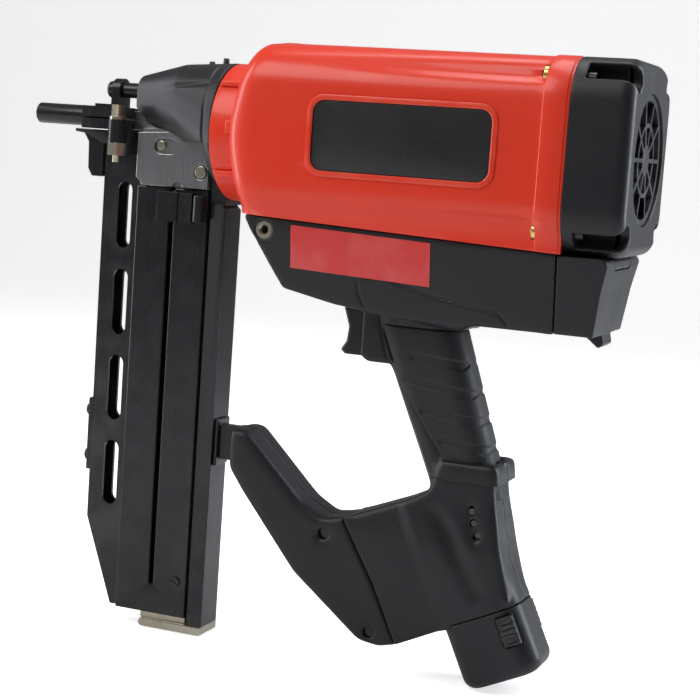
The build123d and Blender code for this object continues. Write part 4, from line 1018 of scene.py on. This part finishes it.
# ------------------------------------------------------------------ metal pieces
# node, body, finish, rounding on its edges in millimetres
MACHINED = [
    ("magazine_channel", "housing", "black_anodised_aluminium", 0.8),
    ("staple_guides", "housing", "black_oxide_steel", 0.5),
    ("rear_rail", "housing", "black_oxide_steel", 0.8),
    ("magazine_bracket", "housing", "black_oxide_steel", 0.8),
    ("foot_plate", "housing", "zinc_plate", 0.6),
    ("magazine_screw", "housing", "black_oxide_steel", 0.4),
    ("front_strip", "housing", "black_oxide_steel", 0.4),
    ("front_bracket", "housing", "black_oxide_steel", 0.4),
    ("front_rivets", "housing", "black_oxide_steel", 0.5),
    ("muzzle_bracket", "housing", "black_oxide_steel", 0.6),
    ("nose_block", "housing", "grey_steel", 0.5),
    ("nose_plates", "housing", "grey_steel", 0.4),
    ("nose_pins", "housing", "zinc_plate", 0.5),
    ("spring_roll", "follower", "black_oxide_steel", 0.4),
    ("follower", "follower", "grey_steel", 0.4),
    ("follower_thumb", "follower", "black_oxide_steel", 0.8),
    ("contact_tube", "contact_assembly", "black_oxide_steel", 0.6),
    ("contact_bracket", "contact_assembly", "black_oxide_steel", 0.5),
    ("bracket_screw", "contact_assembly", "black_oxide_steel", 0.5),
    ("clamp_bolt_and_nut", "contact_assembly", "zinc_plate", 0.5),
    ("link_rod", "contact_assembly", "black_oxide_steel", 0.5),
]


class MESH_OT_stapler_metal(bpy.types.Operator):
    """Builds the magazine, the nose and the contact tube's assembly"""

    bl_idname = "mesh.stapler_metal"
    bl_label = "Metal pieces"

    def execute(self, context):
        for node, body, slot, edge in MACHINED:
            machined(node, body, slot, edge)
        return {"FINISHED"}


HIDDEN_SLOTS = {
    "cast_aluminium": ("cylinder", "cylinder_head", "combustion_chamber", "piston", "fan_motor"),
    "grey_steel": ("driver_blade", "chamber_linkage", "fan"),
    "zinc_plate": ("return_springs", "trigger_spring"),
    "bumper_rubber": ("bumper",),
    "filter_foam": ("air_filter",),
    "ceramic_plug": ("spark_plug",),
    "circuit_board": ("trigger_circuit",),
    "fuel_can": ("fuel_cell",),
    "cell_wrap": ("battery_cells",),
}


class MESH_OT_stapler_inside(bpy.types.Operator):
    """Gives the engine and the other inner parts their finishes"""

    bl_idname = "mesh.stapler_inside"
    bl_label = "Inner parts"

    def execute(self, context):
        for slot, members in HIDDEN_SLOTS.items():
            for member in members:
                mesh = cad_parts[member].data
                mesh.materials.clear()
                mesh.materials.append(finish_for(slot))
                mesh.shade_smooth()
                mesh.set_sharp_from_angle(angle=math.radians(35))
        return {"FINISHED"}


# ------------------------------------------------------------------ stage
CAMERA_PLACE = (0.4174, -1.0042, 0.3309)
AZIMUTH, PITCH, ROLL = math.radians(21.2), math.radians(6.9), math.radians(4.0)


def aim(obj, target):
    direction = Vector(target) - obj.location
    obj.rotation_euler = direction.to_track_quat("-Z", "Y").to_euler()


def add_area(name, place_at, target, width, height, power, colour):
    data = bpy.data.lights.new(name, "AREA")
    data.shape = "RECTANGLE"
    data.size, data.size_y = width, height
    data.energy = power
    data.color = colour
    lamp = bpy.data.objects.new(name, data)
    bpy.context.scene.collection.objects.link(lamp)
    lamp.location = place_at
    aim(lamp, target)
    return lamp


def paper_sweep():
    """A floor of pale paper that curves up into a backdrop behind the tool."""
    flat_end, curve, steps = 2.0, 1.2, 10
    profile = [(-3.0, 0.0), (flat_end, 0.0)]
    for step in range(1, steps + 1):
        angle = step / steps * math.pi / 2
        profile.append((flat_end + curve * math.sin(angle), curve - curve * math.cos(angle)))
    profile.append((flat_end + curve, 4.0))
    bm = bmesh.new()
    rows = []
    for side in (-6.0, 6.0):
        rows.append([bm.verts.new((side, y, z - 0.0006)) for y, z in profile])
    for i in range(len(profile) - 1):
        bm.faces.new((rows[0][i], rows[1][i], rows[1][i + 1], rows[0][i + 1]))
    mesh = bpy.data.meshes.new("floor")
    bm.to_mesh(mesh)
    bm.free()
    mesh.shade_smooth()
    floor = bpy.data.objects.new("floor", mesh)
    bpy.context.scene.collection.objects.link(floor)
    return floor


class MESH_OT_stapler_stage(bpy.types.Operator):
    """Sets out the pale floor, the soft lights and the camera"""

    bl_idname = "mesh.stapler_stage"
    bl_label = "Stage"

    def execute(self, context):
        scene = context.scene
        scene.view_settings.view_transform = "Standard"
        world = bpy.data.worlds.new("Studio")
        world.use_nodes = True
        backdrop = world.node_tree.nodes["Background"]
        backdrop.inputs["Color"].default_value = (1.0, 1.0, 1.0, 1.0)
        seen = world.node_tree.nodes.new("ShaderNodeLightPath").outputs["Is Camera Ray"]
        strength = add_node(
            world.node_tree, "ShaderNodeMapRange", {"Value": seen, "To Min": 0.17, "To Max": 1.0}
        )
        world.node_tree.links.new(strength.outputs[0], backdrop.inputs["Strength"])
        scene.world = world
        floor = paper_sweep()
        paper = bpy.data.materials.new("pale_floor")
        paper.use_nodes = True
        shader = paper.node_tree.nodes["Principled BSDF"]
        shader.inputs["Base Color"].default_value = (0.9, 0.9, 0.9, 1.0)
        shader.inputs["Roughness"].default_value = 0.9
        shader.inputs["Emission Color"].default_value = (1.0, 1.0, 1.0, 1.0)
        seen = paper.node_tree.nodes.new("ShaderNodeLightPath").outputs["Is Camera Ray"]
        glow = add_node(paper.node_tree, "ShaderNodeMath", {0: seen, 1: 0.62}, operation="MULTIPLY")
        paper.node_tree.links.new(glow.outputs[0], shader.inputs["Emission Strength"])
        floor.data.materials.append(paper)
        middle = (0.03, 0.0, 0.2)
        add_area("key_light", (-0.7, -1.1, 1.5), middle, 1.0, 1.0, 15.0, (1.0, 0.99, 0.97))
        add_area("top_light", (0.1, 0.1, 1.6), middle, 1.2, 0.7, 11.0, (1.0, 1.0, 1.0))
        add_area("rim_light", (1.1, 0.7, 0.7), middle, 0.3, 1.3, 18.0, (0.86, 0.92, 1.0))
        add_area("left_strip", (-1.2, -0.2, 0.5), middle, 0.25, 1.3, 9.0, (0.95, 0.97, 1.0))
        lens = bpy.data.cameras.new("photo_angle")
        lens.sensor_width = 36.0
        lens.lens = 87.43
        lens.clip_start = 0.05
        lens.clip_end = 30.0
        camera = bpy.data.objects.new("photo_angle", lens)
        scene.collection.objects.link(camera)
        forward = Vector(
            (-math.sin(AZIMUTH) * math.cos(PITCH), math.cos(AZIMUTH) * math.cos(PITCH), -math.sin(PITCH))
        )
        right = Vector((math.cos(AZIMUTH), math.sin(AZIMUTH), 0.0))
        up = right.cross(forward)
        rolled_right = math.cos(ROLL) * right + math.sin(ROLL) * up
        rolled_up = -math.sin(ROLL) * right + math.cos(ROLL) * up
        turn = Matrix((rolled_right, rolled_up, -forward)).transposed()
        camera.matrix_world = Matrix.Translation(Vector(CAMERA_PLACE)) @ turn.to_4x4()
        scene.camera = camera
        return {"FINISHED"}


# ------------------------------------------------------------------ add-on
PIECES = (
    MESH_OT_stapler_housing,
    MESH_OT_stapler_inserts,
    MESH_OT_stapler_nose_cover,
    MESH_OT_stapler_rear_cap,
    MESH_OT_stapler_handle,
    MESH_OT_stapler_grip,
    MESH_OT_stapler_arm,
    MESH_OT_stapler_door,
    MESH_OT_stapler_battery,
    MESH_OT_stapler_trigger,
    MESH_OT_stapler_badges,
    MESH_OT_stapler_metal,
    MESH_OT_stapler_inside,
    MESH_OT_stapler_stage,
)


class VIEW3D_PT_stapler(bpy.types.Panel):
    """Lists the stapler's pieces, sizes and colours"""

    bl_idname = "VIEW3D_PT_stapler"
    bl_label = "Gas fencing stapler"
    bl_space_type = "VIEW_3D"
    bl_region_type = "UI"
    bl_category = "Stapler"

    def draw(self, context):
        for piece in PIECES:
            self.layout.operator(piece.bl_idname)
        for settings in (context.scene.stapler_sizes, context.scene.stapler_colours):
            for name in settings.bl_rna.properties.keys():
                if name not in ("rna_type", "name"):
                    self.layout.prop(settings, name)


CLASSES = (StaplerSizes, StaplerColours, *PIECES, VIEW3D_PT_stapler)


def register():
    for cls in CLASSES:
        bpy.utils.register_class(cls)
    bpy.types.Scene.stapler_sizes = PointerProperty(type=StaplerSizes)
    bpy.types.Scene.stapler_colours = PointerProperty(type=StaplerColours)


def unregister():
    del bpy.types.Scene.stapler_colours
    del bpy.types.Scene.stapler_sizes
    for cls in reversed(CLASSES):
        bpy.utils.unregister_class(cls)


def main():
    register()
    for piece in PIECES:
        group, name = piece.bl_idname.split(".")
        getattr(getattr(bpy.ops, group), name)()
    bpy.context.view_layer.update()


if __name__ == "__main__":
    main()
